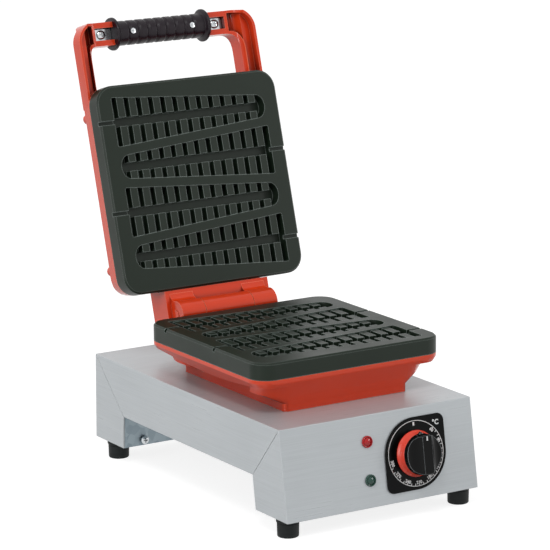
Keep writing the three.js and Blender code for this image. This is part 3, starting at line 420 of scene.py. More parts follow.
@dataclass(frozen=True)
class CoatedCasting(Finish):
    """Cast moulds with a dark non-stick coat: satin, finely pitted, greyer on edges, partly from rubbing and
    partly as a painted highlight.
    """

    # Pale rib edges: partly a worn coat, partly a painted highlight.
    edge_tint: str = "98A39E"
    edge_strength: float = 3.6
    pit: float = 1.1
    pit_share: float = 0.4
    depth: float = 0.12
    cloud: float = 60.0

    def dress(self, surface: Surface) -> None:
        """Lay the sand texture of the mould, oily clouds and pale edges, partly worn and partly a painted
        highlight.

        The real sand grain is some 0.3 mm; it is drawn coarser so that it shows.

        Args:
            surface: The material in the making.
        """
        sand = surface.grain(self.pit, detail=4)
        oily = {0: self.pit_share, 2: surface.grain(self.cloud), 3: sand}
        both = surface.add("ShaderNodeMix", oily, data_type="FLOAT")
        # Pale edges: partly wear, partly a painted highlight.
        surface.feed("Base Color", surface.edge_wear_and_highlight(surface.tinted(both)))
        surface.shine(both)
        surface.relief(sand)


@dataclass(frozen=True)
class MouldedPlastic(Finish):
    """A moulded plastic or rubber: one colour with a fine skin texture and pale edges, partly worn and
    partly a painted highlight.
    """

    # Pale edges: partly wear, partly a painted highlight.
    edge_tint: str = "3A3A3C"
    edge_width: float = 0.6
    edge_strength: float = 0.8
    skin: float = 0.9

    def dress(self, surface: Surface) -> None:
        """Lay faint clouds, the skin of the mould and pale edges, partly worn and partly a painted
        highlight.

        Args:
            surface: The material in the making.
        """
        cloud = surface.grain(self.cloud)
        # Pale edges: partly wear, partly a painted highlight.
        surface.feed("Base Color", surface.edge_wear_and_highlight(surface.tinted(cloud)))
        surface.shine(cloud)
        surface.relief(surface.grain(self.skin))


FINISHES: dict[str, Finish] = {
    "brushed_steel": BrushedSheet("brushed_stainless_sheet", "C4C9CC", "B9BEC1", 0.32, metallic=0.3,
                                  bump=0.14, specular=0.3),
    "zinc": GalvanisedSheet("galvanised_steel", "9AA6AC", "7E8B93", 0.46, metallic=1.0),
    "bright_steel": PlatedSteel("bright_plated_steel", "DEE1E3", "BFC4C7", 0.2, 0.05, metallic=1.0),
    "red_enamel": EnamelledCasting("red_baked_enamel", "E5431B", "DB3C17", 0.2, 0.02, coat=0.12,
                                   coat_roughness=0.08, bump=0.06, specular=0.3),
    "cast_iron": CoatedCasting("dark_coated_casting", "1C281D", "141D15", 0.4, 0.07, bump=0.3,
                               specular=0.24),
    "foot_rubber": MouldedPlastic("black_foot_rubber", "14191A", "0D1111", 0.6, bump=0.3, specular=0.25),
    "grip_plastic": MouldedPlastic("dark_grip_bakelite", "1D101B", "110910", 0.34, bump=0.2, specular=0.28),
    "black_plastic": MouldedPlastic("black_gloss_bakelite", "08090A", "040505", 0.2, 0.04, bump=0.1,
                                    specular=0.1, edge_tint="2A2C2E"),
    "orange_plastic": MouldedPlastic("orange_gloss_collar", "F2452B", "E03A22", 0.26, 0.04, bump=0.08,
                                     edge_tint="FF8A70", edge_strength=0.5),
    "red_lens": MouldedPlastic("red_lamp_lens", "C8141A", "A00B10", 0.12, 0.03, bump=0.05,
                               edge_tint="DC3038", specular=0.4),
    "green_lens": MouldedPlastic("green_lamp_lens", "2B564A", "1C3F36", 0.12, 0.03, bump=0.05,
                                 edge_tint="5C8C80", specular=0.4),
    "cream_plastic": MouldedPlastic("cream_nylon", "D6CFBC", "C8C0AC", 0.5, bump=0.15, edge_tint="E6E0D0"),
}
CAST_SLOTS = ("cast_iron", "red_enamel")
# The knob's pale edges are a painted highlight.
KNOB_GLOSS = MouldedPlastic("black_gloss_knob", "08090A", "040505", 0.14, 0.03, bump=0.06, specular=0.14,
                            edge_tint="C4CACD", edge_strength=2.4, edge_width=1.2)
PRINT_INK = MouldedPlastic("white_print_ink", "E8EAEA", "DADCDC", 0.5, bump=0.05, edge_tint="F2F2F2")


def shaded(piece: Piece, angle: float = SMOOTH_ANGLE) -> None:
    """Shade a piece smooth, apart from edges sharper than an angle.

    Args:
        piece: The piece to shade.
        angle: Where an edge starts to be sharp.
    """
    piece.data.polygons.foreach_set("use_smooth", [True] * len(piece.data.polygons))
    piece.data.set_sharp_from_angle(angle=angle)
    piece.data.update()


def in_scene(name: str, holds: bpy.types.ID | None) -> Piece:
    """Put a mesh, text, lamp or camera into the scene as an object at the origin.

    Args:
        name: The object's name.
        holds: Its data.

    Returns:
        The new object.
    """
    made = bpy.data.objects.new(name, holds)
    bpy.context.scene.collection.objects.link(made)
    return made


def from_shape(name: str, shape: bmesh.types.BMesh, place: Matrix = UNTURNED) -> Piece:
    """Turn the result of mesh code into a piece.

    Args:
        name: The name of the piece.
        shape: The mesh code's shape; it is used up.
        place: Where the shape goes.

    Returns:
        The piece at the origin, its place in its mesh.
    """
    shape.transform(place)
    mesh = bpy.data.meshes.new(name)
    shape.to_mesh(mesh)
    shape.free()
    return in_scene(name, mesh)


def baked(piece: Piece) -> Piece:
    """Turn a piece and its modifiers into a plain mesh.

    Args:
        piece: The object, with its modifiers set; it is used up.

    Returns:
        A plain object of the same name, in its place.
    """
    bpy.context.view_layer.update()
    mesh = bpy.data.meshes.new_from_object(piece.evaluated_get(bpy.context.evaluated_depsgraph_get()))
    name = piece.name
    piece.modifiers.clear()
    bpy.data.objects.remove(piece, do_unlink=True)
    mesh.name = name
    return in_scene(name, mesh)


def evened(piece: Piece, angle: float = SMOOTH_ANGLE) -> Piece:
    """Shade a piece smooth, its large faces flat.

    Args:
        piece: The object to shade.
        angle: Where an edge starts to be sharp.

    Returns:
        The plain object, with its normals set.
    """
    shaded(piece, angle)
    even = piece.modifiers.new("even", "WEIGHTED_NORMAL")
    even.keep_sharp = True
    even.weight = FLAT_WEIGHT
    return baked(piece)


def turn_centre(before: Vector, first: Vector, second: Vector) -> Vector | None:
    """Find the middle of the circle through three points.

    Args:
        before: A point on the circle.
        first: The next one.
        second: The one after it.

    Returns:
        The circle's middle, or None if the points are in line.
    """
    a, b = before - first, second - first
    normal = a.cross(b)
    if normal.length_squared < IN_LINE:
        return None
    return first + (b.cross(normal) * a.length_squared + normal.cross(a) * b.length_squared) / (
        2 * normal.length_squared)


def arc_middle(chord: bmesh.types.BMEdge) -> Vector | None:
    """Find where the middle of a chord lies on the arc that its neighbours show.

    Args:
        chord: One edge of a faceted arc.

    Returns:
        The point on the arc, or None if the edge is not part of one.
    """
    for first, second in ((chord.verts[0], chord.verts[1]), (chord.verts[1], chord.verts[0])):
        ahead = second.co - first.co
        for edge in first.link_edges:
            if edge is chord or not FACET_LIKE < edge.calc_length() / chord.calc_length() < FACET_UNLIKE:
                continue
            before = edge.other_vert(first)
            if not FACET_LOW < ahead.angle(first.co - before.co) < FACET_HIGH:
                continue
            centre = turn_centre(before.co, first.co, second.co)
            if centre is not None:
                out = (first.co + second.co) / 2 - centre
                return centre + out.normalized() * (first.co - centre).length
    return None


def refined(piece: Piece) -> None:
    """Halve the facets of a piece's round corners, so that its outline looks round.

    Args:
        piece: The object, whose mesh is changed.
    """
    shape = bmesh.new()
    shape.from_mesh(piece.data)
    targets = []
    for edge in shape.edges:
        middle = arc_middle(edge) if edge.calc_length() > FACET_SHORTEST else None
        if middle is not None:
            targets.append((edge, (edge.verts[0].co + edge.verts[1].co) / 2, middle))
    middles = {tuple(round(x, PLACE_DIGITS) for x in halfway): goal for _, halfway, goal in targets}
    bmesh.ops.subdivide_edges(shape, edges=[edge for edge, _, _ in targets], cuts=1)
    for vert in shape.verts:
        goal = middles.get(tuple(round(x, PLACE_DIGITS) for x in vert.co))
        if goal is not None:
            vert.co = goal
    bmesh.ops.recalc_face_normals(shape, faces=shape.faces)
    shape.to_mesh(piece.data)
    shape.free()


def bevelled(piece: Piece, width: float, steps: int = 3, angle: float = ROUNDED_ANGLE,
             smooth: float = SMOOTH_ANGLE) -> Piece:
    """Round the edges of a piece and keep its faces flat.

    Args:
        piece: The object to round.
        width: The width of the rounding, in millimetres.
        steps: How many facets a rounding has.
        angle: Where an edge starts to be rounded.
        smooth: Where an edge starts to look sharp.

    Returns:
        The rounded plain object.
    """
    rounding = piece.modifiers.new("rounding", "BEVEL")
    rounding.limit_method = "ANGLE"
    rounding.angle_limit = angle
    rounding.width = width * MM
    rounding.segments = steps
    rounding.use_clamp_overlap = True
    rounding.miter_outer = "MITER_ARC"
    return evened(baked(piece), smooth)


def copied(node: str, name: str) -> Piece:
    """Copy a CAD node as clean faces that can be finished.

    Args:
        node: The CAD node.
        name: The name of the copy.

    Returns:
        The copy, its doubles merged and its flat faces joined.
    """
    shape = bmesh.new()
    shape.from_mesh(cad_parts[node].data)
    bmesh.ops.remove_doubles(shape, verts=shape.verts, dist=CORNER_GAP)
    bmesh.ops.dissolve_degenerate(shape, edges=shape.edges, dist=SLIVER)
    bmesh.ops.dissolve_limit(shape, angle_limit=FLAT_ANGLE, verts=shape.verts, edges=shape.edges)
    bmesh.ops.recalc_face_normals(shape, faces=shape.faces)
    return from_shape(name, shape)


def spun(name: str, profile: Outline, steps: int, place: Matrix = UNTURNED) -> Piece:
    """Turn a profile about Z.

    Args:
        name: The name of the piece.
        profile: Points of radius and height, in millimetres, from the bottom up and round.
        steps: How many facets the turn has.
        place: Where the turned piece goes.

    Returns:
        A closed turned object.
    """
    shape = bmesh.new()
    rings = []
    for radius, height in profile:
        if radius <= 0:
            rings.append([shape.verts.new((0, 0, height * MM))])
            continue
        rings.append([shape.verts.new((radius * MM * math.cos(math.tau * i / steps),
                                       radius * MM * math.sin(math.tau * i / steps), height * MM))
                      for i in range(steps)])
    for low, high in zip(rings, rings[1:]):
        for i in range(steps):
            j = (i + 1) % steps
            corners = [low[i % len(low)], low[j % len(low)], high[j % len(high)], high[i % len(high)]]
            shape.faces.new(list(dict.fromkeys(corners)))
    bmesh.ops.remove_doubles(shape, verts=shape.verts, dist=TURN_GAP)
    bmesh.ops.recalc_face_normals(shape, faces=shape.faces)
    return from_shape(name, shape, place)


def drill(name: str, radius: float, low: float, high: float, steps: int, place: Matrix = UNTURNED) -> Piece:
    """Turn a plain round tool between two heights, all in millimetres."""
    return spun(name, [(0, low), (radius, low), (radius, high), (0, high)], steps, place)


def inset(steps: Outline, radius: float, height: float, way: int = 1) -> list[tuple[float, float]]:
    """Measure points of a turned profile in from a radius and on from a height.

    Args:
        steps: How far each point is in from the radius and on from the height, in millimetres.
        radius: The radius that they are inside.
        height: The height where they start.
        way: 1 to go on upwards, -1 to go on downwards.

    Returns:
        The points' radius and height.
    """
    return [(radius - step, height + way * rise) for step, rise in steps]


def raised(name: str, outline: Outline, low: float, high: float, place: Matrix = UNTURNED) -> Piece:
    """Raise a flat outline into a solid along Z.

    Args:
        name: The name of the piece.
        outline: Its corners, in millimetres.
        low: Its underside, in millimetres.
        high: Its top, in millimetres.
        place: Where the solid goes.

    Returns:
        A closed object.
    """
    shape = bmesh.new()
    under = [shape.verts.new((x * MM, y * MM, low * MM)) for x, y in outline]
    over = [shape.verts.new((x * MM, y * MM, high * MM)) for x, y in outline]
    shape.faces.new(under)
    shape.faces.new(over)
    for i in range(len(outline)):
        j = (i + 1) % len(outline)
        shape.faces.new([under[i], under[j], over[j], over[i]])
    bmesh.ops.recalc_face_normals(shape, faces=shape.faces)
    return from_shape(name, shape, place)


def carved(piece: Piece, tools: Iterable[Piece], join: bool = False) -> Piece:
    """Cut tools out of a piece, or join them to it.

    Args:
        piece: The object that is cut.
        tools: The objects that cut it; they are used up.
        join: True to join them instead.

    Returns:
        The plain result.
    """
    used = list(tools)
    for tool in used:
        step = piece.modifiers.new(tool.name, "BOOLEAN")
        step.operation = "UNION" if join else "DIFFERENCE"
        step.solver = "EXACT"
        step.object = tool
    made = baked(piece)
    for tool in used:
        bpy.data.objects.remove(tool, do_unlink=True)
    return made


def merged(name: str, pieces: Iterable[Piece]) -> Piece:
    """Join several objects' meshes into one object.

    Args:
        name: The name of the result.
        pieces: The objects; they are used up.

    Returns:
        One object with all their faces.
    """
    shape = bmesh.new()
    for piece in list(pieces):
        shape.from_mesh(piece.data)
        bpy.data.objects.remove(piece, do_unlink=True)
    return from_shape(name, shape)


def finished(piece: Piece, slot: str, body: Body, nodes: Iterable[str],
             finish: Finish | None = None) -> None:
    """Give a piece its finish and its body, and hide the CAD nodes that it stands for.

    Args:
        piece: The finished shape.
        slot: The record's material slot.
        body: The body that it rides on.
        nodes: The CAD nodes that it replaces; none for an added detail.
        finish: Another finish than the slot's own, for print or gloss on it.
    """
    piece.data.materials.clear()
    piece.data.materials.append((finish or FINISHES[slot]).material())
    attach(piece, body.value)
    stood_for = list(nodes)
    if stood_for:
        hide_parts(*stood_for)
    log.info("%s: %d faces on %s", piece.name, len(piece.data.polygons), body.value)


def dressed(node: str, slot: str, body: Body, rounding: float = 0.0) -> None:
    """Dress a CAD node whose shape is right: a clean copy with rounded edges.

    Args:
        node: The CAD node.
        slot: Its material slot.
        body: The body that it rides on.
        rounding: The width of its edges' rounding, in millimetres; none for small screws.
    """
    piece = copied(node, "finished_" + node)
    cast = slot in CAST_SLOTS
    if cast:
        refined(piece)
    if rounding:
        piece = bevelled(piece, rounding, smooth=CASTING_ANGLE if cast else SMOOTH_ANGLE)
    else:
        shaded(piece)
    finished(piece, slot, body, [node])


@dataclass(frozen=True)
class Place:
    """A place and a direction on the object, in metres."""

    at: Vector
    aim: Vector


def lengths(part: object, names: str) -> dict[str, float]:
    """Return a part's named fields in metres, as head_radius under Head Radius."""
    return {name.replace("_", " ").title(): getattr(part, name) * MM for name in names.split()}


class Tree:
    """A Geometry Nodes tree with named inputs, made in the script."""

    def __init__(self, name: str, sizes: Mapping[str, float]) -> None:
        """Start a tree.

        Args:
            name: The tree's name.
            sizes: Its named lengths, angles and counts, in metres and radians.
        """
        self.tree = bpy.data.node_groups.new(name, "GeometryNodeTree")
        face = self.tree.interface
        face.new_socket("Geometry", in_out="INPUT", socket_type="NodeSocketGeometry")
        face.new_socket("Geometry", in_out="OUTPUT", socket_type="NodeSocketGeometry")
        self.sizes = dict(sizes)
        self.keys: dict[str, str] = {}
        for title, value in self.sizes.items():
            kind = "NodeSocketInt" if isinstance(value, int) else "NodeSocketFloat"
            self.keys[title] = face.new_socket(title, in_out="INPUT", socket_type=kind).identifier
        self.source = self.tree.nodes.new("NodeGroupInput")

    def __getitem__(self, title: str) -> Socket:
        """Return the socket of a named input."""
        return self.source.outputs[title]

    def add(self, kind: str, inputs: Mapping = {}, **settings: object) -> Node:
        """Add a node to this tree, as add_node does."""
        return add_node(self.tree, kind, inputs, **settings)

    def join(self, shapes: Iterable[Node]) -> Node:
        """Join the geometry of several nodes.

        Args:
            shapes: The nodes whose first outputs are joined.

        Returns:
            The node that joins them.
        """
        whole = self.tree.nodes.new("GeometryNodeJoinGeometry")
        for shape in shapes:
            self.tree.links.new(shape.outputs[0], whole.inputs[0])
        return whole

    def finish(self, shape: Feed, finish: Finish) -> None:
        """End the tree in realised geometry with its material.

        Args:
            shape: The geometry to put out.
            finish: What it is made of.
        """
        real = self.add("GeometryNodeRealizeInstances", {0: shape})
        covered = {"Geometry": real, "Material": finish.material()}
        self.add("NodeGroupOutput", {0: self.add("GeometryNodeSetMaterial", covered)})

    def grow(self, name: str, places: Sequence[Place] = ()) -> Piece:
        """Run the tree on loose points that know their direction.

        Args:
            name: The name of the piece.
            places: Where the points are and what they aim at; none for a tree that needs no start.

        Returns:
            The plain result.
        """
        mesh = bpy.data.meshes.new(name)
        mesh.from_pydata([tuple(place.at) for place in places], [], [])
        aim = mesh.attributes.new("aim", "FLOAT_VECTOR", "POINT")
        for i, place in enumerate(places):
            aim.data[i].vector = place.aim
        piece = in_scene(name, mesh)
        step = piece.modifiers.new("shape", "NODES")
        step.node_group = self.tree
        for title, value in self.sizes.items():
            step[self.keys[title]] = value
        return baked(piece)


@dataclass(frozen=True)
class Screw:
    """A kind of bright screw or bolt, set by Geometry Nodes on its places; sizes in millimetres."""

    drive: Drive
    head_radius: float = 4.6
    head_height: float = 3.0
    dome_share: float = 0.45
    shank_radius: float = 2.4
    shank_length: float = 9.0
    recess_width: float = 1.1
    recess_depth: float = 1.2
    dome_power: float = 2.4
    brow_share: float = 0.3

    def set_out(self, name: str, nodes: Sequence[str], body: Body, places: Sequence[Place]) -> None:
        """Build all screws of one kind as one piece.

        Args:
            name: The name of the piece.
            nodes: The CAD nodes that it stands for.
            body: The body that it rides on.
            places: The underside of each head and the way of its shank.
        """
        sizes = lengths(self, "head_radius head_height shank_radius shank_length recess_width recess_depth")
        made = Tree(name + "_tree", sizes | {"Dome Share": self.dome_share})
        whole = made.join([self._shank(made), self._head(made)])
        aim = made.add("GeometryNodeInputNamedAttribute", {"Name": "aim"}, data_type="FLOAT_VECTOR")
        turn = made.add("FunctionNodeAlignRotationToVector", {"Vector": aim.outputs["Attribute"]}, axis="Z")
        points = made.add("GeometryNodeMeshToPoints", {0: made["Geometry"]})
        spread = {"Points": points, "Instance": whole, "Rotation": turn}
        made.finish(made.add("GeometryNodeInstanceOnPoints", spread), FINISHES["bright_steel"])
        piece = made.grow(name, places)
        shaded(piece)
        finished(piece, "bright_steel", body, nodes)

    def _head(self, made: Tree) -> Node:
        """Build one head, domed outwards, with its recess.

        Args:
            made: The tree that it is built in.

        Returns:
            The node that puts out the head.
        """
        high = made["Head Height"]
        drum = made.add("GeometryNodeMeshCylinder", {"Vertices": 32, "Side Segments": 2, "Fill Segments": 5,
                                                     "Radius": made["Head Radius"], "Depth": high})
        parts = made.add("ShaderNodeSeparateXYZ", {0: made.add("GeometryNodeInputPosition")})
        flat = made.add("ShaderNodeCombineXYZ", {0: parts.outputs[0], 1: parts.outputs[1]})
        out = made.add("ShaderNodeVectorMath", {0: flat}, operation="LENGTH")
        share = made.add(MATHS, {0: out.outputs["Value"], 1: made["Head Radius"]}, operation="DIVIDE")
        curve = made.add(MATHS, {0: share, 1: self.dome_power}, operation="POWER")
        dome = made.add(MATHS, {0: high, 1: made["Dome Share"]}, operation="MULTIPLY")
        fall = made.add(MATHS, {0: curve, 1: dome}, operation="MULTIPLY")
        brow = made.add(MATHS, {0: high, 1: -self.brow_share}, operation="MULTIPLY")
        outer = made.add(MATHS, {0: parts.outputs[2], 1: brow}, operation="LESS_THAN")
        lift = made.add(MATHS, {0: fall, 1: outer}, operation="MULTIPLY")
        offset = made.add("ShaderNodeCombineXYZ", {2: lift})
        domed = made.add("GeometryNodeSetPosition", {0: drum, "Offset": offset})
        half, top = [made.add("ShaderNodeCombineXYZ", {
            2: made.add(MATHS, {0: high, 1: -share}, operation="MULTIPLY")}) for share in (0.5, 1.0)]
        head = made.add("GeometryNodeTransform", {0: domed, "Translation": half})
        reach = made.add(MATHS, {0: made["Head Radius"], 1: self.drive.value}, operation="MULTIPLY")
        deep = made.add(MATHS, {0: made["Recess Depth"], 1: 2.0}, operation="MULTIPLY")
        for quarter in range(2 if self.drive is Drive.CROSS else 1):
            sides = {quarter: reach, 1 - quarter: made["Recess Width"], 2: deep}
            bar = made.add("GeometryNodeMeshCube", {"Size": made.add("ShaderNodeCombineXYZ", sides)})
            at_top = made.add("GeometryNodeTransform", {0: bar, "Translation": top})
            head = made.add("GeometryNodeMeshBoolean", {0: head, 1: at_top}, operation="DIFFERENCE")
        return head

    def _shank(self, made: Tree) -> Node:
        """Build one plain shank.

        Args:
            made: The tree that it is built in.

        Returns:
            The node that puts out the shank.
        """
        long = made["Shank Length"]
        rod = made.add("GeometryNodeMeshCylinder", {"Vertices": 20, "Radius": made["Shank Radius"],
                                                    "Depth": long})
        middle = made.add(MATHS, {0: long, 1: 0.5}, operation="MULTIPLY")
        half = made.add("ShaderNodeCombineXYZ", {2: middle})
        return made.add("GeometryNodeTransform", {0: rod, "Translation": half})


@dataclass
class FoldedBase:
    """The folded stainless housing with its pan, rubber feet, screws and terminal block."""

    fold_radius: float = 1.6
    fold_steps: int = 4
    fold_angle: float = math.radians(40)
    long_edge: float = 20.0
    wide_face: float = 400.0
    foot_x: float = 107.4
    foot_y: tuple[float, float] = (-209.2, 146.3)
    foot_height: float = 18.7
    foot_top_radius: float = 12.6
    foot_bottom_radius: float = 11.4
    foot_round: float = 1.6
    foot_round_step: float = 15.0
    foot_round_steps: int = 6
    foot_waist: Outline = ((0.9, 4.2), (1.3, 3.8), (1.3, 3.2), (0.3, 2.8), (0.0, 2.2), (0.0, 0.5),
                           (0.5, 0.0))
    foot_facets: int = 48
    recess_radius: float = 6.0
    recess_depth: float = 7.0
    bore_radius: float = 2.7
    riser_screw: Screw = Screw(Drive.CROSS)
    riser_x: float = 94.0
    riser_z: float = 25.6
    riser_seats: Outline = ((-152.83, -9.6), (111.28, 0.1))
    riser_run: float = 36.6
    riser_gap: float = 0.3
    terminal_round: float = 0.5

    def build(self) -> None:
        """Build the housing and all that stands under it and in it."""
        self._housing()
        dressed("base_pan", "zinc", Body.BASE)
        dressed("terminal_block", "cream_plastic", Body.BASE, self.terminal_round)
        for i, corner in enumerate(CORNERS):
            self._foot(corner, self.foot_x * (-1, 1)[i % 2], self.foot_y[i // 2])
            dressed("foot_screw_" + corner, "zinc", Body.BASE)
        self._riser_screws()

    def _housing(self) -> None:
        """Round the folds of the sheet and leave its cut edges crisp."""
        piece = copied("housing", "folded_housing")
        shape = bmesh.new()
        shape.from_mesh(piece.data)
        wide = self.wide_face * MM * MM
        folds = [e for e in shape.edges if len(e.link_faces) == 2 and e.calc_length() > self.long_edge * MM
                 and e.calc_face_angle_signed(0) > self.fold_angle
                 and all(f.calc_area() > wide for f in e.link_faces)]
        bmesh.ops.bevel(shape, geom=folds, offset=self.fold_radius * MM, offset_type="OFFSET",
                        segments=self.fold_steps, profile=0.5, affect="EDGES", clamp_overlap=True)
        bmesh.ops.recalc_face_normals(shape, faces=shape.faces)
        shape.to_mesh(piece.data)
        shape.free()
        finished(evened(piece), "brushed_steel", Body.BASE, ["housing"])

    def _foot(self, corner: str, x: float, y: float) -> None:
        """Turn one rubber foot with a soft lower rim and a shallow waist ring.

        Args:
            corner: Which foot it is.
            x: Its place across the base, in millimetres.
            y: Its place along the base, in millimetres.
        """
        turns = [math.radians(step * self.foot_round_step) for step in range(self.foot_round_steps + 1)]
        rim = [(self.foot_bottom_radius - self.foot_round * (1 - math.sin(turn)),
                self.foot_round * (1 - math.cos(turn))) for turn in turns]
        side = inset(self.foot_waist, self.foot_top_radius, self.foot_height, -1)
        profile = [(self.bore_radius, self.recess_depth), (self.recess_radius, self.recess_depth),
                   (self.recess_radius, 0), *rim, *side, (self.bore_radius, self.foot_height),
                   (self.bore_radius, self.recess_depth)]
        piece = spun("rubber_foot_" + corner, profile, self.foot_facets, moved(x, y, 0))
        shaded(piece)
        finished(piece, "foot_rubber", Body.BASE, ["foot_" + corner])

    def _riser_screws(self) -> None:
        """Set the screws that hold the pan's risers to the housing's ends."""
        seats = []
        for way, (y, fall) in zip((-1, 1), self.riser_seats):
            aim = Vector((0, way * self.riser_run, fall)).normalized()
            seats += [Place(in_mm(self.riser_x * side, y, self.riser_z) - aim * self.riser_gap * MM, aim)
                      for side in WAYS.values()]
        nodes = ["riser_screw_" + corner for corner in CORNERS]
        self.riser_screw.set_out("riser_screws", nodes, Body.BASE, seats)


@dataclass
class LowerHousing:
    """The cast lower housing with its mould plate, heater, sensor, bolts and hinge pin."""

    casting_round: float = 1.2
    plate_round: float = 0.6
    pin_round: float = 0.5
    pin_end: float = 61.8
    cap_radius: float = 5.3
    cap_lift: float = 0.02
    cap_thickness: float = 0.5
    cap_edge: float = 0.25
    cap_facets: int = 40

    def build(self) -> None:
        """Dress the castings and what they hold, and cap the hinge pin."""
        dressed("lower_casing", "red_enamel", Body.BASE, self.casting_round)
        dressed("lower_plate", "cast_iron", Body.BASE, self.plate_round)
        dressed("hinge_pin", "bright_steel", Body.BASE, self.pin_round)
        dressed("lower_heater", "zinc", Body.BASE)
        dressed("sensor_bulb", "bright_steel", Body.BASE)
        for corner in CORNERS:
            dressed("casing_bolt_" + corner, "zinc", Body.BASE)
        self._pin_caps()

    def _pin_caps(self) -> None:
        """Turn the enamelled discs that hide the ends of the hinge pin."""
        profile = [(0, self.cap_lift), (self.cap_radius, self.cap_lift),
                   (self.cap_radius, self.cap_thickness - self.cap_edge),
                   (self.cap_radius - self.cap_edge, self.cap_thickness), (0, self.cap_thickness)]
        discs = []
        for side, way in WAYS.items():
            end = Matrix.Translation(HINGE + in_mm(way * self.pin_end, 0, 0))
            lie = end @ Matrix.Rotation(way * QUARTER, 4, "Y")
            discs.append(spun("pin_cap_" + side, profile, self.cap_facets, lie))
        caps = merged("hinge_pin_caps", discs)
        shaded(caps)
        finished(caps, "red_enamel", Body.BASE, [])


@dataclass
class Lid:
    """The cast lid with its mould plate, heater and bolts, and the saddles of its knuckles."""

    casting_round: float = 1.1
    plate_round: float = 0.6
    bolt_round: float = 0.3
    barrel_radius: float = 15.0
    bracket_rise: float = 8.9
    fillet: float = 9.0
    fillet_steps: int = 14
    saddle_x: tuple[float, float] = (31.7, 61.3)
    saddle_depth: float = 4.0
    sunk: float = 0.4

    def build(self) -> None:
        """Dress the castings and what they hold, and lay the saddles."""
        dressed("lid_casing", "red_enamel", Body.LID, self.casting_round)
        dressed("lid_plate", "cast_iron", Body.LID, self.plate_round)
        dressed("lid_heater", "zinc", Body.LID)
        for corner in CORNERS:
            dressed("plate_bolt_" + corner, "zinc", Body.LID, self.bolt_round)
        self._saddles()

    def _saddles(self) -> None:
        """Lay a hollow fillet from the bracket to each knuckle, in the closed lid, and turn it open."""
        drop = self.bracket_rise - self.fillet
        run = math.sqrt((self.barrel_radius + self.fillet) ** 2 - drop * drop)
        last = math.atan2(-drop, run)
        outline = [(-run, self.bracket_rise + self.sunk)]
        for step in range(self.fillet_steps + 1):
            angle = QUARTER + (last - QUARTER) * step / self.fillet_steps
            outline.append((-run + self.fillet * math.cos(angle), drop + self.fillet * math.sin(angle)))
        inside = self.saddle_depth - self.barrel_radius
        outline += [(inside, outline[-1][1] - self.sunk), (inside, self.bracket_rise + self.sunk)]
        along_x = Matrix(((0, 0, 1, 0), (1, 0, 0, 0), (0, 1, 0, 0), (0, 0, 0, 1)))
        lie = LID_OPEN @ Matrix.Translation(HINGE) @ along_x
        sides = []
        for side, way in WAYS.items():
            low, high = sorted(way * x for x in self.saddle_x)
            sides.append(raised("saddle_" + side, outline, low, high, lie))
        saddles = merged("hinge_saddles", sides)
        shaded(saddles)
        finished(saddles, "red_enamel", Body.LID, [])


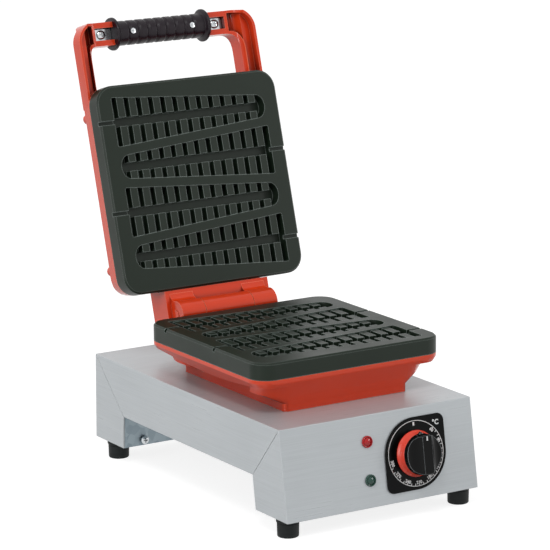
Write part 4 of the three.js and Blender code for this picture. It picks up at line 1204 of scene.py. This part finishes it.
@dataclass
class HandGrip:
    """The ribbed grip on its steel strap, with the strap's bolts and nuts and the grip's screws."""

    y: float = -231.7
    z: float = 219.4
    half_length: float = 60.5
    radius: float = 14.0
    flange_radius: float = 18.6
    flange: float = 3.0
    flare: float = 2.4
    grooves: int = 8
    groove_inset: float = 18.5
    groove_depth: float = 1.5
    groove_width: float = 5.6
    strap_round: float = 0.4
    strap_half: float = 80.0
    strap_side: float = 6.7
    strap_half_thickness: float = 1.5
    gap: float = 0.3
    bolt: Screw = Screw(Drive.CROSS, head_radius=5.0, head_height=2.6, dome_share=0.6, shank_radius=3.0,
                        shank_length=14.5, recess_width=0.9, recess_depth=0.8)
    bolt_x: float = 74.0
    bolt_drop: float = 1.8
    screw: Screw = Screw(Drive.SLOT, head_radius=3.2, head_height=1.2, dome_share=0.4, shank_radius=1.6,
                         shank_length=13.1, recess_width=0.8, recess_depth=0.6)
    screw_x: float = 38.5
    screw_drop: float = 13.1
    seat_radius: float = 3.5
    seat_depth: float = 1.5
    seat_reach: float = 25.0
    seat_facets: int = 32

    def build(self) -> None:
        """Build the grip, and dress and bolt its strap."""
        self._grip()
        dressed("handle_strap", "bright_steel", Body.LID, self.strap_round)
        for side in WAYS:
            dressed("strap_nut_" + side, "zinc", Body.LID, self.strap_round)
        aim = LID_OPEN.to_3x3() @ Vector((0, 0, 1))
        for screw, name, x, drop in ((self.bolt, "strap_bolt", self.bolt_x, self.bolt_drop),
                                     (self.screw, "grip_screw", self.screw_x, self.screw_drop)):
            places = [Place(LID_OPEN @ in_mm(x * way, self.y, self.z - drop), aim) for way in WAYS.values()]
            screw.set_out(name + "s", [f"{name}_{side}" for side in WAYS], Body.LID, places)

    def _grip(self) -> None:
        """Cut the strap's slot and the screws' seats into the ribbed sleeve."""
        side = self.strap_side + self.gap
        thick = self.strap_half_thickness + self.gap
        end = self.strap_half
        slot = [(-end, -side), (end, -side), (end, side), (-end, side)]
        tools = [raised("strap_slot", slot, -thick, thick)]
        shank = self.screw.shank_radius + self.gap
        floor = self.seat_depth - self.radius
        seat = [(0, -self.seat_reach), (self.seat_radius, -self.seat_reach), (self.seat_radius, floor),
                (shank, floor), (shank, 0), (0, 0)]
        for name, way in WAYS.items():
            tools.append(spun("seat_" + name, seat, self.seat_facets, moved(way * self.screw_x, 0, 0)))
        grip = carved(self._sleeve(), tools)
        grip.data.transform(LID_OPEN @ moved(0, self.y, self.z))
        shaded(grip)
        finished(grip, "grip_plastic", Body.LID, ["grip"])

    def _sleeve(self) -> Piece:
        """Grow the ribbed sleeve: its radius follows a rule along the grip.

        Returns:
            The sleeve along X, its middle at the origin.
        """
        pitch = 2 * (self.half_length - self.groove_inset) / (self.grooves - 1)
        sizes = lengths(self, "half_length radius flange_radius flange flare groove_width groove_depth")
        sizes |= {"Groove Pitch": pitch * MM, "Groove Reach": (self.half_length - self.groove_inset) * MM}
        made = Tree("grip_tree", sizes)
        whole = made.add(MATHS, {0: made["Half Length"], 1: 2.0}, operation="MULTIPLY")
        drum = made.add("GeometryNodeMeshCylinder", {"Vertices": 72, "Side Segments": 400, "Radius": 1.0,
                                                     "Depth": whole})
        parts = made.add("ShaderNodeSeparateXYZ", {0: made.add("GeometryNodeInputPosition")})
        along = made.add(MATHS, {0: parts.outputs[2]}, operation="ABSOLUTE")
        radius = self._grooved(made, parts.outputs[2], along)
        inner = made.add(MATHS, {0: made["Half Length"], 1: made["Flange"]}, operation="SUBTRACT")
        outset = made.add(MATHS, {0: inner, 1: made["Flare"]}, operation="SUBTRACT")
        rise = made.add("ShaderNodeMapRange", {"Value": along, "From Min": outset, "From Max": inner},
                        interpolation_type="SMOOTHSTEP")
        height = made.add(MATHS, {0: made["Flange Radius"], 1: made["Radius"]}, operation="SUBTRACT")
        swell = made.add(MATHS, {0: rise, 1: height}, operation="MULTIPLY")
        radius = made.add(MATHS, {0: radius, 1: swell}, operation="ADD")
        half_flange = made.add(MATHS, {0: made["Flange"], 1: 0.5}, operation="MULTIPLY")
        middle = made.add(MATHS, {0: made["Half Length"], 1: half_flange}, operation="SUBTRACT")
        beside = made.add(MATHS, {0: along, 1: middle}, operation="SUBTRACT")
        lip = made.add(MATHS, {0: beside, 1: made["Flange"]}, operation="DIVIDE")
        lip = made.add(MATHS, {0: lip, 1: lip}, operation="MULTIPLY")
        lip = made.add(MATHS, {0: lip, 1: made["Flange"]}, operation="MULTIPLY")
        on_flange = made.add(MATHS, {0: along, 1: inner}, operation="GREATER_THAN")
        rim = made.add(MATHS, {0: lip, 1: on_flange}, operation="MULTIPLY")
        radius = made.add(MATHS, {0: radius, 1: rim}, operation="SUBTRACT")
        x = made.add(MATHS, {0: parts.outputs[0], 1: radius}, operation="MULTIPLY")
        y = made.add(MATHS, {0: parts.outputs[1], 1: radius}, operation="MULTIPLY")
        spot = made.add("ShaderNodeCombineXYZ", {0: x, 1: y, 2: parts.outputs[2]})
        ribbed = made.add("GeometryNodeSetPosition", {0: drum, "Position": spot})
        made.finish(ribbed, FINISHES["grip_plastic"])
        sleeve = made.grow("hand_grip")
        sleeve.data.transform(Matrix.Rotation(QUARTER, 4, "Y"))
        return sleeve

    def _grooved(self, made: Tree, place: Socket, along: Node) -> Node:
        """Work out the sleeve's radius with its soft finger grooves.

        Args:
            made: The tree that it is worked out in.
            place: A point's place along the grip.
            along: The same, from the middle either way.

        Returns:
            The node that gives the radius.
        """
        shifted = made.add(MATHS, {0: place, 1: made["Groove Reach"]}, operation="ADD")
        steps = made.add(MATHS, {0: shifted, 1: made["Groove Pitch"]}, operation="DIVIDE")
        nearest = made.add(MATHS, {0: steps}, operation="ROUND")
        beside = made.add(MATHS, {0: steps, 1: nearest}, operation="SUBTRACT")
        beside = made.add(MATHS, {0: beside}, operation="ABSOLUTE")
        off = made.add(MATHS, {0: beside, 1: made["Groove Pitch"]}, operation="MULTIPLY")
        half_width = made.add(MATHS, {0: made["Groove Width"], 1: 0.5}, operation="MULTIPLY")
        groove = made.add("ShaderNodeMapRange", {"Value": off, "From Max": half_width, "To Min": 1.0,
                                                 "To Max": 0.0}, interpolation_type="SMOOTHSTEP")
        limit = made.add(MATHS, {0: made["Groove Reach"], 1: half_width}, operation="ADD")
        within = made.add(MATHS, {0: along, 1: limit}, operation="LESS_THAN")
        groove = made.add(MATHS, {0: groove, 1: within}, operation="MULTIPLY")
        depth = made.add(MATHS, {0: groove, 1: made["Groove Depth"]}, operation="MULTIPLY")
        return made.add(MATHS, {0: made["Radius"], 1: depth}, operation="SUBTRACT")


@dataclass
class DialPanel:
    """The dial plate with its print, the collar, the knob, the two lamps and what is behind them."""

    dial_x: float = 43.8
    dial_drop: float = 49.0
    plate_radius: float = 38.4
    plate_corner: float = 8.0
    plate_low: float = 0.3
    plate_top: float = 1.9
    plate_round: float = 0.55
    plate_arc_steps: int = 24
    same_corner: float = 0.01
    bore_radius: float = 6.0
    bore_reach: float = 5.0
    bore_facets: int = 48
    arc_radius: float = 34.6
    arc_width: float = 0.75
    tick_length: float = 2.6
    tick_width: float = 0.8
    print_height: float = 0.06
    label_radius: float = 31.0
    label_size: float = 4.8
    label_weight: float = 0.035
    first_angle: float = 45.0
    label_step: float = 26.6
    first_label: int = 60
    label_rise: int = 30
    labels: int = 9
    ticks_a_label: int = 3
    label_flip: float = 100.0
    unit_size: float = 7.4
    unit_at: tuple[float, float] = (27.6, 29.0)
    off_mark: Outline = ((-1.1, 29.6), (1.1, 29.6), (1.1, 33.2), (-1.1, 33.2))
    ring_bore: float = 17.0
    ring_radius: float = 24.7
    ring_top_radius: float = 20.6
    ring_low: float = 2.2
    ring_height: float = 9.3
    ring_flare: Outline = ((0.4, 0.0), (0.0, 0.4), (0.0, 1.1), (0.35, 1.5), (1.6, 3.1), (2.7, 5.0))
    ring_lip: Outline = ((-0.5, 1.8), (0.0, 0.9), (0.4, 0.3), (1.2, 0.0))
    ring_angle: float = math.radians(50)
    turned_facets: int = 96
    knob_low: float = 12.0
    knob_height: float = 13.5
    knob_radius: float = 22.0
    knob_top_radius: float = 21.0
    knob_foot: Outline = ((0.4, 0.0), (0.0, 0.6))
    knob_brow: Outline = ((0.0, 0.8), (0.8, 0.0))
    knob_round: float = 0.9
    knob_round_steps: int = 4
    shaft_bore: float = 3.3
    shaft_bore_reach: tuple[float, float] = (-3, 7)
    shaft_facets: int = 32
    bar_width: float = 9.0
    scoop_radius: float = 13.0
    scoop_depth: float = 7.5
    scoop_half: float = 30.0
    peak: float = 2.0
    peak_width: float = 9.0
    peak_height: float = 3.0
    knob_mark: Outline = ((-0.8, 15.2), (0.8, 15.2), (0.8, 19.8), (-0.8, 19.8))
    mark_heights: tuple[float, float] = (-0.02, 0.06)
    lamp_x: float = -14.6
    lamp_drops: tuple[tuple[str, float], ...] = (("red", 27.9), ("green", 68.7))
    lamp_radius: float = 6.4
    lamp_low: float = 0.3
    lamp_rim: Outline = ((1.9, 0.3), (0.0, 0.3), (0.0, 1.2), (0.25, 1.7), (0.8, 2.0), (1.4, 1.8), (1.7, 1.3),
                         (1.9, 0.3))
    lamp_button: Outline = ((1.8, 0.3), (1.8, 1.5), (3.1, 2.7), (4.9, 3.3))
    lamp_top: float = 3.4
    lamp_rim_facets: int = 48
    lamp_button_facets: int = 8
    hidden_round: float = 0.3
    thermostat_round: float = 0.5

    def __post_init__(self) -> None:
        """Work out where the dial's middle is."""
        self.place = FRONT_PANEL @ moved(self.dial_x, -self.dial_drop, 0)

    def build(self) -> None:
        """Build and dress the whole panel."""
        self._plate()
        self._print()
        self._ring()
        self._knob()
        dressed("knob_shaft", "zinc", Body.KNOB, self.hidden_round)
        dressed("thermostat", "cream_plastic", Body.BASE, self.thermostat_round)
        for colour, drop in self.lamp_drops:
            self._lamp(colour, FRONT_PANEL @ moved(self.lamp_x, -drop, 0))
            dressed("lamp_body_" + colour, "cream_plastic", Body.BASE, self.hidden_round)

    def _plate(self) -> None:
        """Build the drop-shaped dial plate: round on two corners, tight on the other two."""
        big, small = self.plate_radius, self.plate_corner
        off = big - small
        outline = []
        for centre, radius, start in (((0, 0), big, -90), ((off, off), small, 0), ((0, 0), big, 90),
                                      ((-off, -off), small, 180)):
            for step in range(self.plate_arc_steps + 1):
                angle = math.radians(start + step * 90 / self.plate_arc_steps)
                outline.append((centre[0] + radius * math.cos(angle), centre[1] + radius * math.sin(angle)))
        outline = [p for i, p in enumerate(outline) if math.dist(p, outline[i - 1]) > self.same_corner]
        plate = raised("dial_plate", outline, self.plate_low, self.plate_top)
        bore = drill("dial_bore", self.bore_radius, -self.bore_reach, self.bore_reach, self.bore_facets)
        plate = bevelled(carved(plate, [bore]), self.plate_round)
        plate.data.transform(self.place)
        finished(plate, "black_plastic", Body.BASE, ["dial_bezel"])

    def _print(self) -> None:
        """Print the scale, the temperatures, the unit and the off mark on the plate."""
        words = [self._scale()]
        for i in range(self.labels):
            angle = math.radians(self.first_angle + i * self.label_step)
            spot = Matrix.Rotation(-angle, 4, "Z") @ moved(0, self.label_radius, 0)
            if abs(math.degrees(angle) - 180) < self.label_flip:
                spot = spot @ Matrix.Rotation(math.pi, 4, "Z")
            words.append(self._word(f"label_{i}", str(self.first_label + i * self.label_rise),
                                    self.label_size, spot))
        words.append(self._word("unit", "°C", self.unit_size, moved(*self.unit_at, 0)))
        words.append(raised("off_mark", self.off_mark, self.plate_top, self.plate_top + self.print_height))
        piece = merged("dial_print", words)
        piece.data.transform(self.place)
        finished(piece, "black_plastic", Body.BASE, [], PRINT_INK)

    def _scale(self) -> Piece:
        """Grow the scale's arc and its ticks.

        Returns:
            The scale on top of the plate, its middle at the origin.
        """
        turns = {"First Angle": math.radians(self.first_angle),
                 "Tick Step": math.radians(self.label_step / self.ticks_a_label),
                 "Tick Count": self.ticks_a_label * (self.labels - 1) + 1}
        sizes = lengths(self, "arc_radius arc_width print_height tick_length tick_width")
        made = Tree("dial_print_tree", sizes | turns)
        line = made.add("GeometryNodeCurvePrimitiveCircle", {
            "Resolution": 128, "Radius": made["Arc Radius"]}, mode="RADIUS")
        cross = made.add("GeometryNodeCurvePrimitiveQuadrilateral", {
            "Width": made["Arc Width"], "Height": made["Print Height"]}, mode="RECTANGLE")
        arc = made.add("GeometryNodeCurveToMesh", {"Curve": line, "Profile Curve": cross, "Fill Caps": True})
        index = made.add("GeometryNodeInputIndex")
        turned = made.add(MATHS, {0: index, 1: made["Tick Step"]}, operation="MULTIPLY")
        angle = made.add(MATHS, {0: made["First Angle"], 1: turned}, operation="ADD")
        half = made.add(MATHS, {0: made["Tick Length"], 1: 0.5}, operation="MULTIPLY")
        reach = made.add(MATHS, {0: made["Arc Radius"], 1: half}, operation="SUBTRACT")
        sine = made.add(MATHS, {0: angle}, operation="SINE")
        cosine = made.add(MATHS, {0: angle}, operation="COSINE")
        spot = made.add("ShaderNodeCombineXYZ", {
            0: made.add(MATHS, {0: sine, 1: reach}, operation="MULTIPLY"),
            1: made.add(MATHS, {0: cosine, 1: reach}, operation="MULTIPLY")})
        points = made.add("GeometryNodePoints", {"Count": made["Tick Count"], "Position": spot})
        size = made.add("ShaderNodeCombineXYZ", {0: made["Tick Width"], 1: made["Tick Length"],
                                                 2: made["Print Height"]})
        bar = made.add("GeometryNodeMeshCube", {"Size": size})
        back = made.add(MATHS, {0: angle, 1: -1.0}, operation="MULTIPLY")
        turn = made.add("ShaderNodeCombineXYZ", {2: back})
        spread = {"Points": points, "Instance": bar, "Rotation": turn}
        ticks = made.add("GeometryNodeInstanceOnPoints", spread)
        made.finish(made.join([ticks, arc]), PRINT_INK)
        scale = made.grow("dial_scale")
        scale.data.transform(moved(0, 0, self.plate_top + self.print_height / 2))
        return scale

    def _word(self, name: str, text: str, size: float, spot: Matrix) -> Piece:
        """Set one short number or unit as a thin raised print.

        Args:
            name: The name of the piece.
            text: What it says.
            size: Its height, in millimetres.
            spot: Where its middle is on the dial.

        Returns:
            A mesh object.
        """
        font = bpy.data.curves.new(name, "FONT")
        font.body = text
        font.size = size * MM
        font.align_x = "CENTER"
        font.align_y = "CENTER"
        font.extrude = self.print_height * MM / 2
        font.offset = self.label_weight * size * MM
        font.resolution_u = 3
        word = baked(in_scene(name, font))
        word.data.transform(spot @ moved(0, 0, self.plate_top + self.print_height / 2))
        return word

    def _ring(self) -> None:
        """Turn the flared collar with rolled rims."""
        low, high = self.ring_low, self.ring_low + self.ring_height
        profile = [(self.ring_bore, low), *inset(self.ring_flare, self.ring_radius, low),
                   *inset(self.ring_lip, self.ring_top_radius, high, -1),
                   (self.ring_bore, high), (self.ring_bore, low)]
        ring = spun("dial_collar", profile, self.turned_facets)
        shaded(ring, self.ring_angle)
        ring.data.transform(self.place)
        finished(ring, "orange_plastic", Body.BASE, ["dial_ring"])

    def _knob(self) -> None:
        """Build the knob: a drum with two finger scoops, a bar between them and a pointing peak."""
        low, high = self.knob_low, self.knob_low + self.knob_height
        wide, narrow = self.knob_radius, self.knob_top_radius
        profile = [(0, low), *inset(self.knob_foot, wide, low), *inset(self.knob_brow, narrow, high, -1),
                   (0, high)]
        drum = spun("knob_drum", profile, self.turned_facets)
        side, foot = self.peak_width / 2, wide - self.peak
        tip = [(-side, foot), (side, foot), (0, wide + self.peak)]
        peak = raised("knob_peak", tip, low, low + self.peak_height)
        drum = carved(drum, [peak], join=True)
        lie = Matrix.Rotation(QUARTER, 4, "X")
        tools = []
        for name, way in WAYS.items():
            middle = moved(way * (self.bar_width / 2 + self.scoop_radius), 0,
                           high + self.scoop_radius - self.scoop_depth)
            tools.append(drill("scoop_" + name, self.scoop_radius, -self.scoop_half, self.scoop_half,
                               self.turned_facets, middle @ lie))
        under, over = [low + reach for reach in self.shaft_bore_reach]
        tools.append(drill("shaft_bore", self.shaft_bore, under, over, self.shaft_facets))
        knob = bevelled(carved(drum, tools), self.knob_round, self.knob_round_steps)
        knob.data.transform(self.place)
        finished(knob, "black_plastic", Body.KNOB, ["knob"], KNOB_GLOSS)
        mark = raised("knob_mark", self.knob_mark, *[high + rise for rise in self.mark_heights])
        mark.data.transform(self.place)
        finished(mark, "black_plastic", Body.KNOB, [], PRINT_INK)

    def _lamp(self, colour: str, place: Matrix) -> None:
        """Build one lamp lens: a rolled rim round a faceted button.

        Args:
            colour: The lamp's colour, as in its node's name.
            place: Its place on the front.
        """
        rim = spun("lamp_rim_" + colour, inset(self.lamp_rim, self.lamp_radius, 0), self.lamp_rim_facets)
        shaded(rim)
        profile = [(0, self.lamp_low), *inset(self.lamp_button, self.lamp_radius, 0), (0, self.lamp_top)]
        button = spun("lamp_button_" + colour, profile, self.lamp_button_facets)
        lens = merged("lamp_" + colour, [rim, button])
        lens.data.transform(place)
        finished(lens, f"{colour}_lens", Body.BASE, [f"lamp_lens_{colour}"])


@dataclass
class RearGland:
    """The strain relief gland on the rear of the housing, where a cord would leave."""

    rounding: float = 0.4
    rounded_angle: float = math.radians(35)

    def build(self) -> None:
        """Round the gland's nut and finish it."""
        gland = bevelled(copied("cable_gland", "cord_gland"), self.rounding, 2, self.rounded_angle)
        finished(gland, "black_plastic", Body.BASE, ["cable_gland"])


@dataclass(frozen=True)
class Softbox:
    """One soft lamp: where it is and what it points at, its width and height, and its watts."""

    name: str
    at: tuple[float, float, float]
    toward: tuple[float, float, float]
    size: tuple[float, float]
    watts: float

    def hang(self) -> None:
        """Hang the lamp."""
        lamp = bpy.data.lights.new(self.name, "AREA")
        lamp.shape = "RECTANGLE"
        lamp.size, lamp.size_y = self.size
        lamp.energy = self.watts
        aim = Vector(self.toward) - Vector(self.at)
        turn = aim.to_track_quat("-Z", "Y").to_matrix().to_4x4()
        in_scene(self.name, lamp).matrix_world = Matrix.Translation(Vector(self.at)) @ turn


@dataclass
class Studio:
    """The white stage, its soft lamps and the camera at the photograph's angle."""

    eye: tuple[float, float, float] = (-1.77156, -2.84827, 0.98574)
    azimuth: float = math.radians(-32.03)
    elevation: float = math.radians(12.81)
    roll: float = math.radians(-0.51)
    focal_pixels: float = 3157.54
    picture_pixels: int = 550
    sensor: float = 36.0
    clips: tuple[float, float] = (0.1, 60)
    level_share: float = 0.6
    zenith_share: float = 0.5
    sky_low: float = -0.1
    first_bounce: float = 0.5
    floor_glow: float = 0.84
    floor_size: float = 14.0
    floor_seen: float = 0.36
    floor_grey: float = 0.3
    lamps: tuple[Softbox, ...] = (
        Softbox("top_softbox", (-1.5, -1.6, 3.3), (0, 0, 0.2), (0.9, 0.9), 30),
        Softbox("left_strip", (-2.6, -0.9, 0.95), (0, -0.1, 0.3), (0.3, 1.8), 19),
        Softbox("right_strip", (2.2, -1.7, 0.95), (0, -0.1, 0.3), (0.3, 1.8), 13),
        Softbox("rear_softbox", (-1.6, 2.2, 2.6), (0, 0, 0.3), (1.2, 1.2), 10),
    )

    def build(self) -> None:
        """Set up the camera, the world, the floor and the lamps."""
        self._camera()
        self._world()
        self._floor()
        for lamp in self.lamps:
            lamp.hang()
        bpy.context.scene.view_settings.view_transform = "Standard"

    def _camera(self) -> None:
        """Place the camera that was fitted to the photograph."""
        a, e, r = self.azimuth, self.elevation, self.roll
        right = Vector((math.cos(a), math.sin(a), 0))
        back = Vector((math.sin(a) * math.cos(e), -math.cos(a) * math.cos(e), math.sin(e)))
        up = back.cross(right)
        rolled_right = right * math.cos(r) + up * math.sin(r)
        rolled_up = up * math.cos(r) - right * math.sin(r)
        turn = Matrix((rolled_right, rolled_up, back)).transposed().to_4x4()
        camera = bpy.data.cameras.new("photo_camera")
        camera.sensor_width = self.sensor
        camera.lens = self.focal_pixels * self.sensor / self.picture_pixels
        camera.clip_start, camera.clip_end = self.clips
        holder = in_scene("photo_camera", camera)
        holder.matrix_world = Matrix.Translation(Vector(self.eye)) @ turn
        bpy.context.scene.camera = holder

    def _seen_share(self, tree: bpy.types.NodeTree) -> Node:
        """Tell rays that see the backdrop from rays that carry its light.

        Args:
            tree: The node tree of the world or the floor.

        Returns:
            A node that gives 1 for camera, glossy and transmission rays.
        """
        path = add_node(tree, "ShaderNodeLightPath")
        direct = {0: path.outputs["Is Camera Ray"], 1: path.outputs["Is Glossy Ray"]}
        either = add_node(tree, MATHS, direct, operation="MAXIMUM")
        either_or_through = {0: either, 1: path.outputs["Is Transmission Ray"]}
        seen = add_node(tree, MATHS, either_or_through, operation="MAXIMUM")
        depth = {0: path.outputs["Diffuse Depth"], 1: self.first_bounce}
        first = add_node(tree, MATHS, depth, operation="LESS_THAN")
        return add_node(tree, MATHS, {0: seen, 1: first}, operation="MULTIPLY")

    def _world(self) -> None:
        """Make the world white to the eye and plain as a light."""
        world = bpy.data.worlds.new("white_studio")
        world.use_nodes = True
        tree = world.node_tree
        way = add_node(tree, "ShaderNodeSeparateXYZ", {
            0: add_node(tree, "ShaderNodeTexCoord").outputs["Generated"]})
        sky = add_node(tree, "ShaderNodeMapRange", {
            "Value": way.outputs["Z"], "From Min": self.sky_low, "From Max": 1.0,
            "To Min": self.level_share, "To Max": self.zenith_share})
        light = add_node(tree, "ShaderNodeMapRange", {"Value": self._seen_share(tree), "To Min": sky,
                                                      "To Max": 1.0})
        tree.nodes["Background"].inputs["Color"].default_value = (1, 1, 1, 1)
        tree.links.new(light.outputs[0], tree.nodes["Background"].inputs["Strength"])
        bpy.context.scene.world = world

    def _floor(self) -> None:
        """Lay a white floor that keeps the object's soft shadow."""
        half = self.floor_size / 2
        mesh = bpy.data.meshes.new("studio_floor")
        mesh.from_pydata([(-half, -half, 0), (half, -half, 0), (half, half, 0), (-half, half, 0)], [],
                         [(0, 1, 2, 3)])
        floor = in_scene("studio_floor", mesh)
        material = bpy.data.materials.new("white_floor_paper")
        material.use_nodes = True
        tree = material.node_tree
        tree.nodes.remove(tree.nodes["Principled BSDF"])
        matt = add_node(tree, "ShaderNodeBsdfDiffuse", {"Color": (*[self.floor_grey] * 3, 1)})
        seen = add_node(tree, "ShaderNodeBsdfDiffuse", {"Color": (*[self.floor_seen] * 3, 1)})
        glow = add_node(tree, "ShaderNodeEmission", {"Strength": self.floor_glow})
        lifted = add_node(tree, "ShaderNodeAddShader", {0: seen, 1: glow})
        both = add_node(tree, "ShaderNodeMixShader", {0: self._seen_share(tree), 1: matt, 2: lifted})
        tree.links.new(both.outputs[0], tree.nodes["Material Output"].inputs["Surface"])
        mesh.materials.append(material)


def main() -> None:
    """Build every sub-assembly in order."""
    logging.basicConfig(level=logging.INFO, format="%(name)s %(message)s")
    for assembly in (Studio(), FoldedBase(), LowerHousing(), Lid(), HandGrip(), DialPanel(), RearGland()):
        log.info("building %s", type(assembly).__name__)
        assembly.build()


if __name__ == "__main__":
    main()
